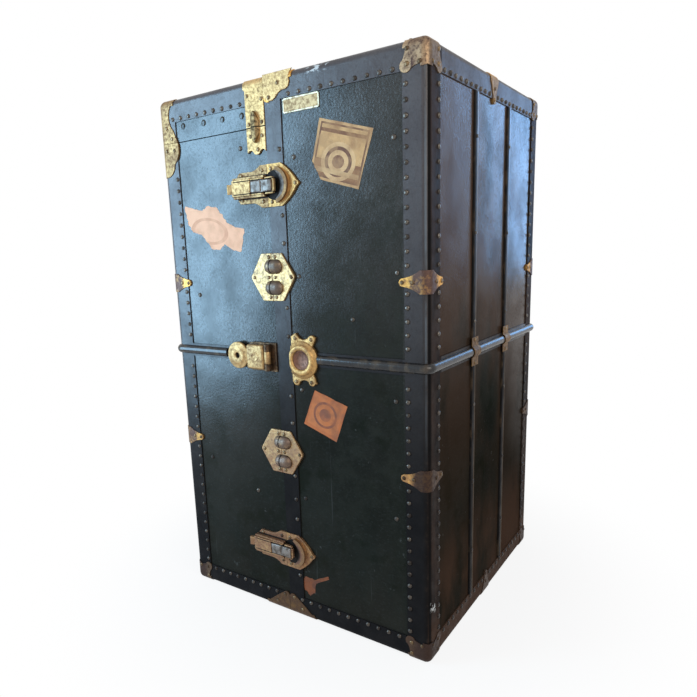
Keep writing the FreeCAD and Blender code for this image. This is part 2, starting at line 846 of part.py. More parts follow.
def lid_strap():
    middle = f"{SEAM} - strap_width / 2"
    head_low = outer_top - S.strap_head_height
    narrow = seam - S.strap_width
    broad = seam - S.strap_head_width
    upper_path = [
        (seam_left, lid_high),
        (narrow, lid_high),
        (narrow, head_low - (S.strap_head_width - S.strap_width)),
        (broad, head_low),
        (broad, outer_top + MARGIN),
        (seam_left, outer_top + MARGIN),
    ]
    reach = outer_front + S.strap_top_reach
    top_path = [
        (seam_left, outer_front - MARGIN),
        (seam_left, reach),
        (((seam_left + broad) / 2, reach + MARGIN), (broad, reach)),
        (broad, outer_front - MARGIN),
    ]
    top_sketch = outline("strap_top_outline", TOP_VIEW, ("0", "0", TOP), top_path)
    top_leg = extrude("strap_top", top_sketch, f"{OVERRUN}", "wall")
    front_leg = front_prism("strap_upper_front", upper_path)
    upper_plate = wrapped("strap_upper", "left", [front_leg, top_leg])
    foot = lid_low - S.strap_drop
    third = S.strap_width / 3
    lower_path = [
        (seam_left, lid_low),
        (seam_left, foot),
        ((seam - third / 2, foot + S.cap_scallop), (seam - third, foot)),
        ((seam - 1.5 * third, foot - S.cap_scallop), (seam - 2 * third, foot)),
        ((seam - 2.5 * third, foot + S.cap_scallop), (narrow, foot)),
        (narrow, lid_low),
    ]
    lower_plate = wrapped("strap_lower", "left", [front_prism("strap_lower_front", lower_path)])
    face = f"{FRONT} - binding_thick - sheet_thick"
    round_radius = "((ridge_width^2 / 4 + ridge_rise^2) / (2 * ridge_rise))"
    round_base = (middle, f"{face} + {round_radius} - ridge_rise", f"{LID_SEAM} - ridge_length / 2")
    bead = cylinder("strap_bead", "z", round_radius, round_base, "ridge_length")
    tip = S.ridge_length / 2
    pointed = [
        (0, -tip),
        ((S.ridge_width / 2, 0), (0, tip)),
        ((-S.ridge_width / 2, 0), (0, -tip)),
    ]
    lens_sketch = outline("strap_lens_outline", FRONT_VIEW, (middle, face, LID_SEAM), pointed)
    proud = common("strap_ridge", bead, extrude("strap_lens", lens_sketch, "ridge_rise * 2"))
    rise = f"{FRONT} - binding_thick - sheet_thick - ridge_rise / 3"
    pin = cylinder(
        "lid_pin",
        "z",
        "lid_pin_radius",
        (middle, rise, f"{LID_HIGH} - lid_pin_length"),
        "lid_pin_length + ridge_length / 4",
    )
    bore = cylinder(
        "lid_pin_bore",
        "z",
        "lid_pin_radius + pin_clearance",
        (middle, rise, f"{LID_LOW} - lid_pin_length - pin_clearance"),
        "lid_pin_length * 2",
    )
    upper_ridge = common("strap_ridge_upper", proud, above_lid)
    lower_ridge = common("strap_ridge_lower", proud, below_lid)
    node(fuse("lid_strap", upper_plate, upper_ridge, pin))
    node(cut("lid_dowel_plate", fuse("strap_lower_whole", lower_plate, lower_ridge), bore))


lid_strap()

# Dowel plates: split at the seam, pins on the left half and sockets on the right half


def dowel_plate(side, name, level):
    sign = 1 if side == "right" else -1
    label = f"dowel_{side}_{name}"
    start = seam_right if side == "right" else seam_left
    START = SEAM_RIGHT if side == "right" else SEAM_LEFT
    LEVEL = DOWEL_LEVEL[name]
    half = S.dowel_plate_half_height
    reach = S.dowel_plate_reach
    path = [
        (0, -half),
        (S.dowel_plate_top, -half),
        (reach - S.dowel_ear, -S.dowel_ear),
        ((reach, 0), (reach - S.dowel_ear, S.dowel_ear)),
        (S.dowel_plate_top, half),
        (0, half),
    ]
    prism = front_prism(f"{label}_prism", moved(path, lambda a, b: (start + sign * a, level + b)))
    plate = common(f"{label}_plate", plate_layer[side], prism)
    length = "dowel_socket_side" if side == "right" else "dowel_pin_side"
    axis_y = f"{FRONT} - dowel_axis_rise"
    barrels = []
    pins = []
    for way in (-1, 1):
        height = f"{LEVEL} + {way} * dowel_spacing / 2"
        end = f"{START} + {sign} * ({length} - dowel_radius)"
        low = START if side == "right" else end
        stub = f"{length} - dowel_radius"
        base = (low, axis_y, height)
        barrels.append(cylinder(f"{label}_barrel_{way + 1}", "x", "dowel_radius", base, stub))
        barrels.append(sphere(f"{label}_nose_{way + 1}", "dowel_radius", (end, axis_y, height)))
        pin_y = f"{FRONT} - dowel_pin_rise"
        if side == "right":
            bore = cylinder(
                f"{label}_bore_{way + 1}",
                "x",
                "dowel_pin_radius + pin_clearance",
                (SEAM_LEFT, pin_y, height),
                "dowel_pin_length + pin_clearance * 2 + seam_gap",
            )
            pins.append(bore)
        else:
            pin = cylinder(
                f"{label}_pin_{way + 1}",
                "x",
                "dowel_pin_radius",
                (f"{SEAM_LEFT} - dowel_pin_length", pin_y, height),
                "dowel_pin_length * 2",
            )
            pins.append(pin)
    whole = fuse(f"{label}_barrels", *barrels)
    limit_low = (LEFT, f"{FRONT} - {OVERRUN}", BOTTOM)
    limit_high = (RIGHT, f"{FRONT} - binding_thick - plate_thick", TOP)
    if side == "left":
        limit_high = (SEAM_LEFT, *limit_high[1:])
    else:
        limit_low = (SEAM_RIGHT, *limit_low[1:])
    domes = common(f"{label}_domes", whole, box(f"{label}_limit", limit_low, limit_high))
    if side == "left":
        return fuse(label, plate, domes, *pins)
    return cut(label, fuse(f"{label}_solid", plate, domes), fuse(f"{label}_bores", *pins))


node(group("dowel_sockets", *[dowel_plate("right", *level) for level in dowel_level.items()]))
node(group("dowel_pins", *[dowel_plate("left", *level) for level in dowel_level.items()]))

# Draw latches: base with cheeks and fulcrum pin, lever, hook link, catch plate

FULCRUM_X = f"{SEAM} - fulcrum_inset"
FULCRUM_Y = f"{FRONT} - fulcrum_rise"
LINK_X = f"{SEAM} - fulcrum_inset - link_arm"
PLATE_FACE = f"{FRONT} - binding_thick - plate_thick"


def latch_base(name, level):
    label = f"latch_base_{name}"
    LEVEL = LATCH_LEVEL[name]
    tall = S.latch_half_height
    tail = S.latch_tail_half_height
    bend = (tall + 2 * tail) / 3
    path = [
        (0, -tall),
        (-S.latch_shoulder, -tall),
        ((-S.latch_bend, -bend), (-S.latch_waist, -tail)),
        (-S.latch_tail_start, -tail),
        ((-S.latch_base_reach, 0), (-S.latch_tail_start, tail)),
        (-S.latch_waist, tail),
        ((-S.latch_bend, bend), (-S.latch_shoulder, tall)),
        (0, tall),
    ]
    prism = front_prism(f"{label}_prism", moved(path, lambda a, b: (seam_left + a, level + b)))
    plate = common(f"{label}_plate", plate_layer["left"], prism)
    pieces = [plate]
    for way, start in ((-1, "-cheek_gap / 2 - cheek_thick"), (1, "cheek_gap / 2")):
        low_z = f"{LEVEL} + {start}"
        low = (f"{SEAM} - lever_head_end + cheek_thick", f"{PLATE_FACE} - cheek_rise", low_z)
        high = (f"{SEAM} - cheek_thick / 2", PLATE_FACE, f"{low_z} + cheek_thick")
        pieces.append(box(f"{label}_cheek_{way + 1}", low, high))
    pin = cylinder(
        f"{label}_pin",
        "z",
        "fulcrum_radius",
        (FULCRUM_X, FULCRUM_Y, f"{LEVEL} - cheek_gap / 2 - cheek_thick"),
        "cheek_gap + cheek_thick * 2",
    )
    return fuse(label, *pieces, pin)


def latch_catch(name, level):
    label = f"latch_catch_{name}"
    LEVEL = LATCH_LEVEL[name]
    tall = S.latch_half_height
    reach = S.latch_catch_reach
    shoulder = S.latch_catch_shoulder
    ear = S.latch_ear
    neck = (shoulder + reach) / 2
    path = [
        (0, -tall),
        (shoulder, -tall),
        ((neck, -S.latch_catch_bend), (reach - ear, -ear)),
        ((reach, 0), (reach - ear, ear)),
        ((neck, S.latch_catch_bend), (shoulder, tall)),
        (0, tall),
    ]
    prism = front_prism(f"{label}_prism", moved(path, lambda a, b: (seam_right + a, level + b)))
    plate = common(f"{label}_plate", plate_layer["right"], prism)
    centre = (f"{SEAM} + crescent_centre", f"{PLATE_FACE} - crescent_rise", LEVEL)
    inner = "crescent_radius - crescent_width"
    disc = cylinder(f"{label}_disc", "y", "crescent_radius", centre, "crescent_rise")
    hollow = cylinder(f"{label}_hollow", "y", inner, centre, "crescent_rise")
    half_start = f"{SEAM} + crescent_centre + crescent_width"
    half_end = f"{SEAM} + crescent_centre + crescent_radius * 2"
    half = box(
        f"{label}_half",
        (half_start, f"{FRONT} - {OVERRUN}", f"{LEVEL} - crescent_radius * 2"),
        (half_end, FRONT, f"{LEVEL} + crescent_radius * 2"),
    )
    crescent = common(f"{label}_crescent", cut(f"{label}_ring", disc, hollow), half)
    lug = box(
        f"{label}_lug",
        (f"{SEAM} + lug_start", f"{PLATE_FACE} - lug_rise", f"{LEVEL} - link_width / 2"),
        (f"{SEAM} + lug_start + lug_width", PLATE_FACE, f"{LEVEL} + link_width / 2"),
    )
    return fuse(label, plate, crescent, lug)


def latch_lever(name):
    """Two webs from the fulcrum, a solid head and a thumb tab, as seen along the pins."""
    label = f"latch_lever_{name}"
    LEVEL = LATCH_LEVEL[name]
    base = (SEAM, FRONT, LEVEL)
    pivot = -S.fulcrum_inset
    low = S.fulcrum_rise - S.lever_half_thick
    high = S.fulcrum_rise + S.lever_half_thick
    head = -S.lever_head_start
    web_path = [
        (pivot, low),
        ((pivot + S.lever_half_thick, S.fulcrum_rise), (pivot, high)),
        (head, high),
        (head, low),
    ]
    web_sketch = outline(f"{label}_web_outline", RISE_VIEW, base, web_path)
    webs = extrude(f"{label}_webs", web_sketch, "lever_width / 2", "lever_width / 2")
    slot = box(
        f"{label}_slot",
        (
            f"{SEAM} - lever_head_start",
            f"{FRONT} - {OVERRUN}",
            f"{LEVEL} - lever_width / 2 + lever_web",
        ),
        (f"{SEAM} + wall", FRONT, f"{LEVEL} + lever_width / 2 - lever_web"),
    )
    head_end = -S.lever_head_end
    head_top = S.lever_head_rise
    edge = S.lever_edge
    bend = S.lever_slope / 4
    head_path = [
        (head, low),
        (head, head_top - edge),
        ((head - edge / 3, head_top - edge / 3), (head - edge, head_top)),
        (head_end + S.lever_slope, head_top),
        ((head_end + bend, head_top - bend), (head_end, low + S.tab_thick)),
        (head_end, low),
    ]
    head_sketch = outline(f"{label}_head_outline", RISE_VIEW, base, head_path)
    solid_head = extrude(f"{label}_head", head_sketch, "lever_width / 2", "lever_width / 2")
    tab_top = low + S.tab_thick
    tab_path = [
        (head_end, low),
        (head_end, tab_top),
        (-S.tab_end + S.tab_lift, tab_top + S.tab_lift),
        ((-S.tab_end, tab_top), (-S.tab_end + S.tab_bevel, low + S.tab_bevel)),
    ]
    tab_sketch = outline(f"{label}_tab_outline", RISE_VIEW, base, tab_path)
    tab = extrude(f"{label}_tab", tab_sketch, "tab_width / 2", "tab_width / 2")
    hole = cylinder(
        f"{label}_hole",
        "z",
        "fulcrum_radius + pin_play",
        (FULCRUM_X, FULCRUM_Y, f"{LEVEL} - lever_width"),
        "lever_width * 2",
    )
    pin = cylinder(
        f"{label}_pin",
        "z",
        "link_pin_radius",
        (LINK_X, FULCRUM_Y, f"{LEVEL} - lever_width / 2"),
        "lever_width",
    )
    forked = cut(f"{label}_fork", webs, slot)
    return node(fuse(label, cut(f"{label}_bored", forked, hole), solid_head, tab, pin))


def latch_link(name):
    """The hook that the lever draws back: an eye, a bar over the fulcrum and a lip."""
    label = f"latch_link_{name}"
    base = (SEAM, FRONT, LATCH_LEVEL[name])
    eye_x = -S.fulcrum_inset - S.link_arm
    bar_low = S.fulcrum_rise + S.fulcrum_radius + S.running_gap
    bar_high = bar_low + S.link_bar_thick
    lip = plate_top + S.running_gap * 2
    edge = S.lever_edge
    bar_path = [
        (eye_x, bar_low - edge),
        (eye_x, bar_high),
        (S.link_reach - edge, bar_high),
        ((S.link_reach - edge / 3, bar_high - edge / 3), (S.link_reach, bar_high - edge)),
        (S.link_reach, lip),
        (S.link_reach - S.hook_thick, lip),
        (S.link_reach - S.hook_thick, bar_low),
        (eye_x + S.link_eye_radius, bar_low),
    ]
    sketch = outline(f"{label}_outline", RISE_VIEW, base, bar_path)
    bar = extrude(f"{label}_bar", sketch, "link_width / 2", "link_width / 2")
    low = (LINK_X, FULCRUM_Y, f"{LATCH_LEVEL[name]} - link_width / 2")
    eye = cylinder(f"{label}_eye", "z", "link_eye_radius", low, "link_width")
    hole = cylinder(f"{label}_hole", "z", "link_pin_radius + pin_play", low, "link_width")
    return node(cut(label, fuse(f"{label}_solid", bar, eye), hole))


node(group("latch_bases", *[latch_base(*level) for level in latch_level.items()]))
node(group("latch_catches", *[latch_catch(*level) for level in latch_level.items()]))
for name in latch_level:
    latch_lever(name)
    latch_link(name)

# Lock: hasp on its hinged base, and the keeper whose bore takes the hasp's nozzle

HASP_X = f"{SEAM} - hasp_axis_inset"
HASP_Y = f"{FRONT} - hasp_axis_rise"
# The hasp lies back with its inner face outwards, this high above the board
HASP_FACE = f"{FRONT} - 2 * hasp_axis_rise + keeper_rise + running_gap"


def hasp_base():
    reach = S.hasp_base_reach
    half = S.hasp_base_half
    corner = S.hasp_base_corner
    bend = corner * (1 - 0.5**0.5)
    path = [
        (0, -half),
        (-reach + corner, -half),
        ((-reach + bend, -half + bend), (-reach, -half + corner)),
        (-reach, half - corner),
        ((-reach + bend, half - bend), (-reach + corner, half)),
        (0, half),
    ]
    on_front = moved(path, lambda a, b: (seam_left + a, lock_level + b))
    prism = front_prism("hasp_base_prism", on_front)
    pieces = [common("hasp_base_plate", plate_layer["left"], prism)]
    for way in (-1, 1):
        near = "(hasp_knuckle_half + running_gap)"
        far = "(hasp_base_half - hasp_body_margin)"
        start = near if way > 0 else f"-{far}"
        base = (HASP_X, HASP_Y, f"{LOCK_LEVEL} + {start}")
        length = f"{far} - {near}"
        label = f"hasp_base_knuckle_{way + 1}"
        pieces.append(cylinder(label, "z", "hasp_knuckle_radius", base, length))
        low = (f"{HASP_X} - hasp_knuckle_radius / 2", *base[1:])
        high = (f"{HASP_X} + hasp_knuckle_radius / 2", PLATE_FACE, f"{base[2]} + {length}")
        pieces.append(box(f"hasp_base_web_{way + 1}", low, high))
    pin_low = (HASP_X, HASP_Y, f"{LOCK_LEVEL} - hasp_base_half + hasp_body_margin")
    pin_length = "(hasp_base_half - hasp_body_margin) * 2"
    pin = cylinder("hasp_pin", "z", "hasp_pin_radius", pin_low, pin_length)
    return node(fuse("hasp_base", *pieces, pin))


def hasp():
    arm = S.hasp_arm
    neck = S.hasp_neck_half
    join = arm - (S.hasp_head_radius**2 - neck**2) ** 0.5
    half = S.hasp_body_half
    start = S.hasp_body_start
    end = S.hasp_body_end
    path = [
        (-start, -half),
        (-end, -half),
        (-join, -neck),
        ((-arm - S.hasp_head_radius, 0), (-join, neck)),
        (-end, half),
        (-start, half),
    ]
    sketch = outline("hasp_outline", FRONT_VIEW, (HASP_X, HASP_FACE, LOCK_LEVEL), path)
    plate = extrude("hasp_plate", sketch, "0", "hasp_thick")
    raised = box(
        "hasp_raised",
        (
            f"{HASP_X} - hasp_body_end + hasp_body_margin",
            f"{HASP_FACE} - hasp_body_rise",
            f"{LOCK_LEVEL} - hasp_body_half + hasp_body_margin",
        ),
        (
            f"{HASP_X} - hasp_body_start - hasp_body_margin",
            HASP_FACE,
            f"{LOCK_LEVEL} + hasp_body_half - hasp_body_margin",
        ),
    )
    nozzle_base = (f"{HASP_X} - hasp_arm", f"{HASP_FACE} - nozzle_height", LOCK_LEVEL)
    nozzle = cylinder("hasp_nozzle", "y", "nozzle_radius", nozzle_base, "nozzle_height")
    key_hole = cylinder("hasp_key_hole", "y", "key_hole_radius", nozzle_base, "nozzle_height")
    knuckle_base = (HASP_X, HASP_Y, f"{LOCK_LEVEL} - hasp_knuckle_half")
    length = "hasp_knuckle_half * 2"
    knuckle = cylinder("hasp_knuckle", "z", "hasp_knuckle_radius", knuckle_base, length)
    web = box(
        "hasp_web",
        (f"{HASP_X} - hasp_body_start", HASP_FACE, f"{LOCK_LEVEL} - hasp_knuckle_half"),
        (HASP_X, f"{HASP_FACE} + hasp_thick", f"{LOCK_LEVEL} + hasp_knuckle_half"),
    )
    bore = cylinder("hasp_bore", "z", "hasp_pin_radius + pin_play", knuckle_base, length)
    solid = fuse("hasp_solid", plate, raised, nozzle, knuckle, web)
    return node(cut("hasp", solid, fuse("hasp_holes", key_hole, bore)))


def lock_keeper():
    half = S.keeper_half_height
    ear = S.keeper_ear_width
    ring = S.keeper_ring_radius
    far = keeper_centre + S.keeper_reach
    middle = (keeper_left + far) / 2
    path = [
        (keeper_left, -half),
        (keeper_left + ear, -half),
        ((middle, -half + S.keeper_notch), (far - ear, -half)),
        (far, -half),
        (far, -half + ear / 2),
        ((keeper_centre + ring, 0), (far, half - ear / 2)),
        (far, half),
        (far - ear, half),
        ((middle, half - S.keeper_notch), (keeper_left + ear, half)),
        (keeper_left, half),
    ]
    prism = front_prism("keeper_prism", moved(path, lambda a, b: (a, lock_level + b)))
    plate = common("keeper_plate", plate_layer["right"], prism)
    middle_x = f"{SEAM} - hasp_axis_inset + hasp_arm"
    centre = (middle_x, f"{FRONT} - keeper_rise", LOCK_LEVEL)
    ring_height = "keeper_rise - binding_thick - plate_thick"
    ring_full = cylinder("keeper_ring_full", "y", "keeper_ring_radius", centre, ring_height)
    limit = box(
        "keeper_limit",
        (f"{SEAM} + strip_width + running_gap", f"{FRONT} - {OVERRUN}", BOTTOM),
        (RIGHT, FRONT, TOP),
    )
    ring_part = common("keeper_ring", ring_full, limit)
    bore = cylinder("keeper_bore", "y", "keeper_bore_radius", centre, "keeper_rise")
    return node(cut("lock_keeper", fuse("keeper_solid", plate, ring_part), bore))


hasp_base()
hasp()
lock_keeper()

# Hinges: three on the back seam and two on the left side at the lid seam


def knuckled_leaf(label, axis, leaf, centre, radius, pin, own, other):
    """A leaf with its own knuckles, cut clear of the other leaf's knuckles and of the pin."""
    knuckles = []
    for number, (start, length) in enumerate(own):
        knuckles.append(cylinder(f"{label}_knuckle_{number}", axis, radius, centre(start), length))
    clear = []
    wide = f"{radius} + knuckle_gap"
    for number, (start, length) in enumerate(other):
        base = centre(f"{start} - knuckle_gap")
        long = f"{length} + knuckle_gap * 2"
        clear.append(cylinder(f"{label}_clear_{number}", axis, wide, base, long))
    notched = cut(f"{label}_notched", leaf, fuse(f"{label}_clears", *clear))
    bore_base = centre(f"{own[0][0]} - {OVERRUN}")
    bore = cylinder(f"{label}_bore", axis, f"{pin} + pin_play", bore_base, f"{OVERRUN} * 5")
    return cut(label, fuse(f"{label}_solid", notched, *knuckles), bore)


def back_hinges():
    right_leaves = []
    left_leaves = []
    third = "hinge_height / 3"
    ends = [("-hinge_height / 2", third), ("hinge_height / 6", third)]
    middle = [("-hinge_height / 6 + knuckle_gap", f"{third} - knuckle_gap * 2")]
    face = f"{BACK} + binding_thick"
    axis_y = f"{face} + hinge_knuckle_radius"
    for number in range(HINGES):
        step = number - (HINGES - 1) / 2
        level = f"{BOTTOM} + case_height / 2 + {step} * hinge_spacing"

        def centre(along):
            return (SEAM, axis_y, f"{level} + {along}")

        low = (f"{SEAM_RIGHT} + running_gap", face, f"{level} - hinge_height / 2")
        leaf_face = f"{face} + hinge_leaf_thick"
        high = (f"{SEAM} + hinge_leaf_width", leaf_face, f"{level} + hinge_height / 2")
        leaf = box(f"hinge_right_leaf_{number}", low, high)
        shape = ("z", leaf, centre, "hinge_knuckle_radius", "hinge_pin_radius")
        right_leaf = knuckled_leaf(f"hinge_right_{number}", *shape, ends, middle)
        low = (f"{SEAM} - hinge_leaf_width", low[1], low[2])
        high = (f"{SEAM_LEFT} - running_gap", high[1], high[2])
        leaf = box(f"hinge_left_leaf_{number}", low, high)
        shape = ("z", leaf, centre, "hinge_knuckle_radius", "hinge_pin_radius")
        left_leaf = knuckled_leaf(f"hinge_left_{number}", *shape, middle, ends)
        foot = centre("-hinge_height / 2")
        pin = cylinder(f"hinge_pin_{number}", "z", "hinge_pin_radius", foot, "hinge_height")
        right_leaves += [right_leaf, pin]
        left_leaves.append(left_leaf)
    node(group("back_hinges_right", *right_leaves))
    node(group("back_hinges_left", *left_leaves))


def lid_hinges():
    lower_leaves = []
    upper_leaves = []
    third = "lid_hinge_length / 3"
    ends = [("-lid_hinge_length / 2", third), ("lid_hinge_length / 6", third)]
    middle = [("-lid_hinge_length / 6 + knuckle_gap", f"{third} - knuckle_gap * 2")]
    axis_x = f"{LEFT} - lid_hinge_radius - running_gap"
    for way, name in ((-1, "front"), (1, "back")):
        # Between the slat and the edge of the case, a little nearer to the slat
        place_y = f"{way} * ((case_depth + slat_spacing) / 4 - lid_hinge_shift)"

        def centre(along):
            return (axis_x, f"{place_y} + {along}", LID_SEAM)

        low_y = f"{place_y} - lid_hinge_length / 2"
        low = (f"{LEFT} - hinge_leaf_thick", low_y, f"{LID_SEAM} - lid_hinge_leaf")
        high = (LEFT, f"{place_y} + lid_hinge_length / 2", f"{LID_LOW} - running_gap")
        leaf = box(f"lid_hinge_lower_leaf_{name}", low, high)
        shape = ("y", leaf, centre, "lid_hinge_radius", "lid_hinge_pin")
        lower = knuckled_leaf(f"lid_hinge_lower_{name}", *shape, middle, ends)
        low = (low[0], low[1], f"{LID_HIGH} + running_gap")
        high = (high[0], high[1], f"{LID_SEAM} + lid_hinge_leaf")
        leaf = box(f"lid_hinge_upper_leaf_{name}", low, high)
        shape = ("y", leaf, centre, "lid_hinge_radius", "lid_hinge_pin")
        upper = knuckled_leaf(f"lid_hinge_upper_{name}", *shape, ends, middle)
        foot = centre("-lid_hinge_length / 2")
        pin = cylinder(f"lid_hinge_pin_{name}", "y", "lid_hinge_pin", foot, "lid_hinge_length")
        lower_leaves += [lower, pin]
        upper_leaves.append(upper)
    node(group("lid_hinges_lower", *lower_leaves))
    node(group("lid_hinges_upper", *upper_leaves))


back_hinges()
lid_hinges()

# Drawer half: hat shelf, runners and drawers with turned pulls

SHELF_LEVEL = f"({CEILING} - shelf_level)"
PITCH = f"(({SHELF_LEVEL} - {FLOOR_TOP}) / {DRAWERS})"
SHELF_START = f"{SEAM} + runner_setback"
node(
    box(
        "hat_shelf",
        (SHELF_START, INSIDE_FRONT, SHELF_LEVEL),
        (INSIDE_RIGHT, INSIDE_BACK, f"{SHELF_LEVEL} + shelf_thick"),
    )
)


def drawer(number):
    """Floor, sides, back and front boards of one drawer, counted from the bottom."""
    label = f"drawer_{number}"
    low_z = f"{FLOOR_TOP} + {PITCH} * {number - 1} + runner_height"
    high_z = f"{FLOOR_TOP} + {PITCH} * {number} - drawer_top_gap"
    low_x = f"{SEAM} + drawer_setback"
    face_x = f"{low_x} + drawer_front_thick"
    high_x = f"{INSIDE_RIGHT} - drawer_back_gap"
    back_x = f"{high_x} - drawer_board"
    low_y = f"{INSIDE_FRONT} + drawer_side_gap"
    high_y = f"{INSIDE_BACK} - drawer_side_gap"
    near_y = f"{low_y} + drawer_board"
    far_y = f"{high_y} - drawer_board"
    boards_of_drawer = {
        "front": ((low_x, low_y, low_z), (face_x, high_y, high_z)),
        "back": ((back_x, low_y, low_z), (high_x, high_y, high_z)),
        "side_near": ((face_x, low_y, low_z), (back_x, near_y, high_z)),
        "side_far": ((face_x, far_y, low_z), (back_x, high_y, high_z)),
        "floor": ((face_x, near_y, low_z), (back_x, far_y, f"{low_z} + drawer_floor")),
    }
    pieces = [box(f"{label}_{name}", *corners) for name, corners in boards_of_drawer.items()]
    node(group(label, *pieces))
    pulls = []
    for way in (-1, 1):
        base = (
            f"{low_x} - pull_length",
            f"{way} * pull_spacing / 2",
            f"({low_z} + {high_z}) / 2",
        )
        stem = cylinder(f"{label}_stem_{way + 1}", "x", "pull_stem_radius", base, "pull_length")
        knob = cylinder(f"{label}_knob_{way + 1}", "x", "pull_radius", base, "pull_length / 2")
        pulls.append(fuse(f"{label}_pull_{way + 1}", stem, knob))
    node(group(f"drawer_pulls_{number}", *pulls))


def drawer_runners():
    pieces = []
    for number in range(DRAWERS):
        low_z = f"{FLOOR_TOP} + {PITCH} * {number}"
        for name, low_y, high_y in (
            ("front", INSIDE_FRONT, f"{INSIDE_FRONT} + runner_width"),
            ("back", f"{INSIDE_BACK} - runner_width", INSIDE_BACK),
        ):
            low = (SHELF_START, low_y, low_z)
            high = (INSIDE_RIGHT, high_y, f"{low_z} + runner_height")
            pieces.append(box(f"runner_{name}_{number + 1}", low, high))
    node(group("drawer_runners", *pieces))


drawer_runners()
for number in range(1, DRAWERS + 1):
    drawer(number)

# Hanger half: rails, the trolley that slides on them, hangers on its rod

RAIL_LEVEL = f"({LID_SEAM} - rail_level)"
CARRIAGE_LOW = f"({RAIL_LEVEL} + rail_height)"
ROD_LEVEL = f"({CARRIAGE_LOW} + carriage_height / 2)"
RAIL_START = f"({INSIDE_LEFT} + rail_end_gap)"
RAIL_END = f"({SEAM} - rail_end_gap)"
CARRIAGE_START = f"({RAIL_START} + rail_end_gap)"
CARRIAGE_END = f"({RAIL_END} - rail_end_gap)"


def trolley():
    """Fixed rails, and a frame of two arms, two cross bars and a rod between them."""
    rails = []
    frame = []
    arm_front = f"{INSIDE_FRONT} + carriage_side_gap"
    arm_back = f"{INSIDE_BACK} - carriage_side_gap"
    high_z = f"{CARRIAGE_LOW} + carriage_height"
    for name, low_y, high_y, arm_y in (
        ("front", INSIDE_FRONT, f"{INSIDE_FRONT} + rail_width", arm_front),
        ("back", f"{INSIDE_BACK} - rail_width", INSIDE_BACK, f"{arm_back} - carriage_width"),
    ):
        low = (RAIL_START, low_y, RAIL_LEVEL)
        rails.append(box(f"rail_{name}", low, (RAIL_END, high_y, CARRIAGE_LOW)))
        low = (CARRIAGE_START, arm_y, CARRIAGE_LOW)
        high = (CARRIAGE_END, f"{arm_y} + carriage_width", high_z)
        frame.append(box(f"carriage_arm_{name}", low, high))
    node(group("trolley_rails", *rails))
    for name, start in (("near", CARRIAGE_START), ("far", f"{CARRIAGE_END} - carriage_width")):
        low = (start, f"{arm_front} + carriage_width", CARRIAGE_LOW)
        high = (f"{start} + carriage_width", f"{arm_back} - carriage_width", high_z)
        frame.append(box(f"carriage_bar_{name}", low, high))
    rod_start = f"{CARRIAGE_START} + carriage_width"
    rod_length = f"{CARRIAGE_END} - {CARRIAGE_START} - carriage_width * 2"
    frame.append(cylinder("trolley_rod", "x", "rod_radius", (rod_start, "0", ROD_LEVEL), rod_length))
    node(group("hanger_trolley", *frame))


def hangers():
    woods = []
    hooks = []
    ring = "(rod_radius + running_gap + hook_wire_radius)"
    ring_radius = S.rod_radius + S.running_gap + S.hook_wire_radius
    half = S.hanger_half_width
    slope = S.hanger_slope
    depth = S.hanger_depth
    end = half - depth / 4
    path = [
        (-half, -slope),
        ((-half / 2, -S.hanger_bow), (-depth / 2, 0)),
        (depth / 2, 0),
        ((half / 2, -S.hanger_bow), (half, -slope)),
        (end, -slope - depth / 2),
        ((0, -S.hanger_arch), (-end, -slope - depth / 2)),
    ]
    middle = f"({CARRIAGE_START} + {CARRIAGE_END}) / 2"
    for number in range(HANGERS):
        step = number - (HANGERS - 1) / 2
        place_x = f"{middle} + {step} * hanger_pitch"
        base = (place_x, ring, f"{ROD_LEVEL} - hook_stem")
        sketch = outline(f"hanger_outline_{number}", SIDE_VIEW, base, path)
        half_thick = "hanger_thick / 2"
        woods.append(extrude(f"hanger_wood_{number}", sketch, half_thick, half_thick))
        hook = doc.addObject("Part::Torus", f"hanger_hook_ring_{number}")
        hook.setExpression("Radius1", bound(ring))
        hook.setExpression("Radius2", bound("hook_wire_radius"))
        hook.Angle3 = HOOK_TURN
        place(hook, (place_x, "0", ROD_LEVEL), SIDE_VIEW)
        stem = cylinder(f"hanger_stem_{number}", "z", "hook_wire_radius", base, "hook_stem")
        hooks.append(fuse(f"hanger_hook_{number}", hook, stem))
    node(group("hangers", *woods))
    node(group("hanger_hooks", *hooks))


trolley()
hangers()

doc.recompute()
for item in doc.Objects:
    if {"Invalid", "Error"} & set(item.State):
        raise RuntimeError(f"{item.Label} failed to build")
for label, item in NODES.items():
    if item.Shape.isNull() or not item.Shape.isValid() or not item.Shape.Solids:
        raise RuntimeError(f"{label} has no valid solid")
os.makedirs("parts", exist_ok=True)
for label, item in NODES.items():
    item.Shape.exportStep(f"parts/{label}.step")
print(f"{len(NODES)} sub-parts written")
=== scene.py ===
import json
import math
import random

import bmesh
import bpy
from mathutils import Matrix, Vector

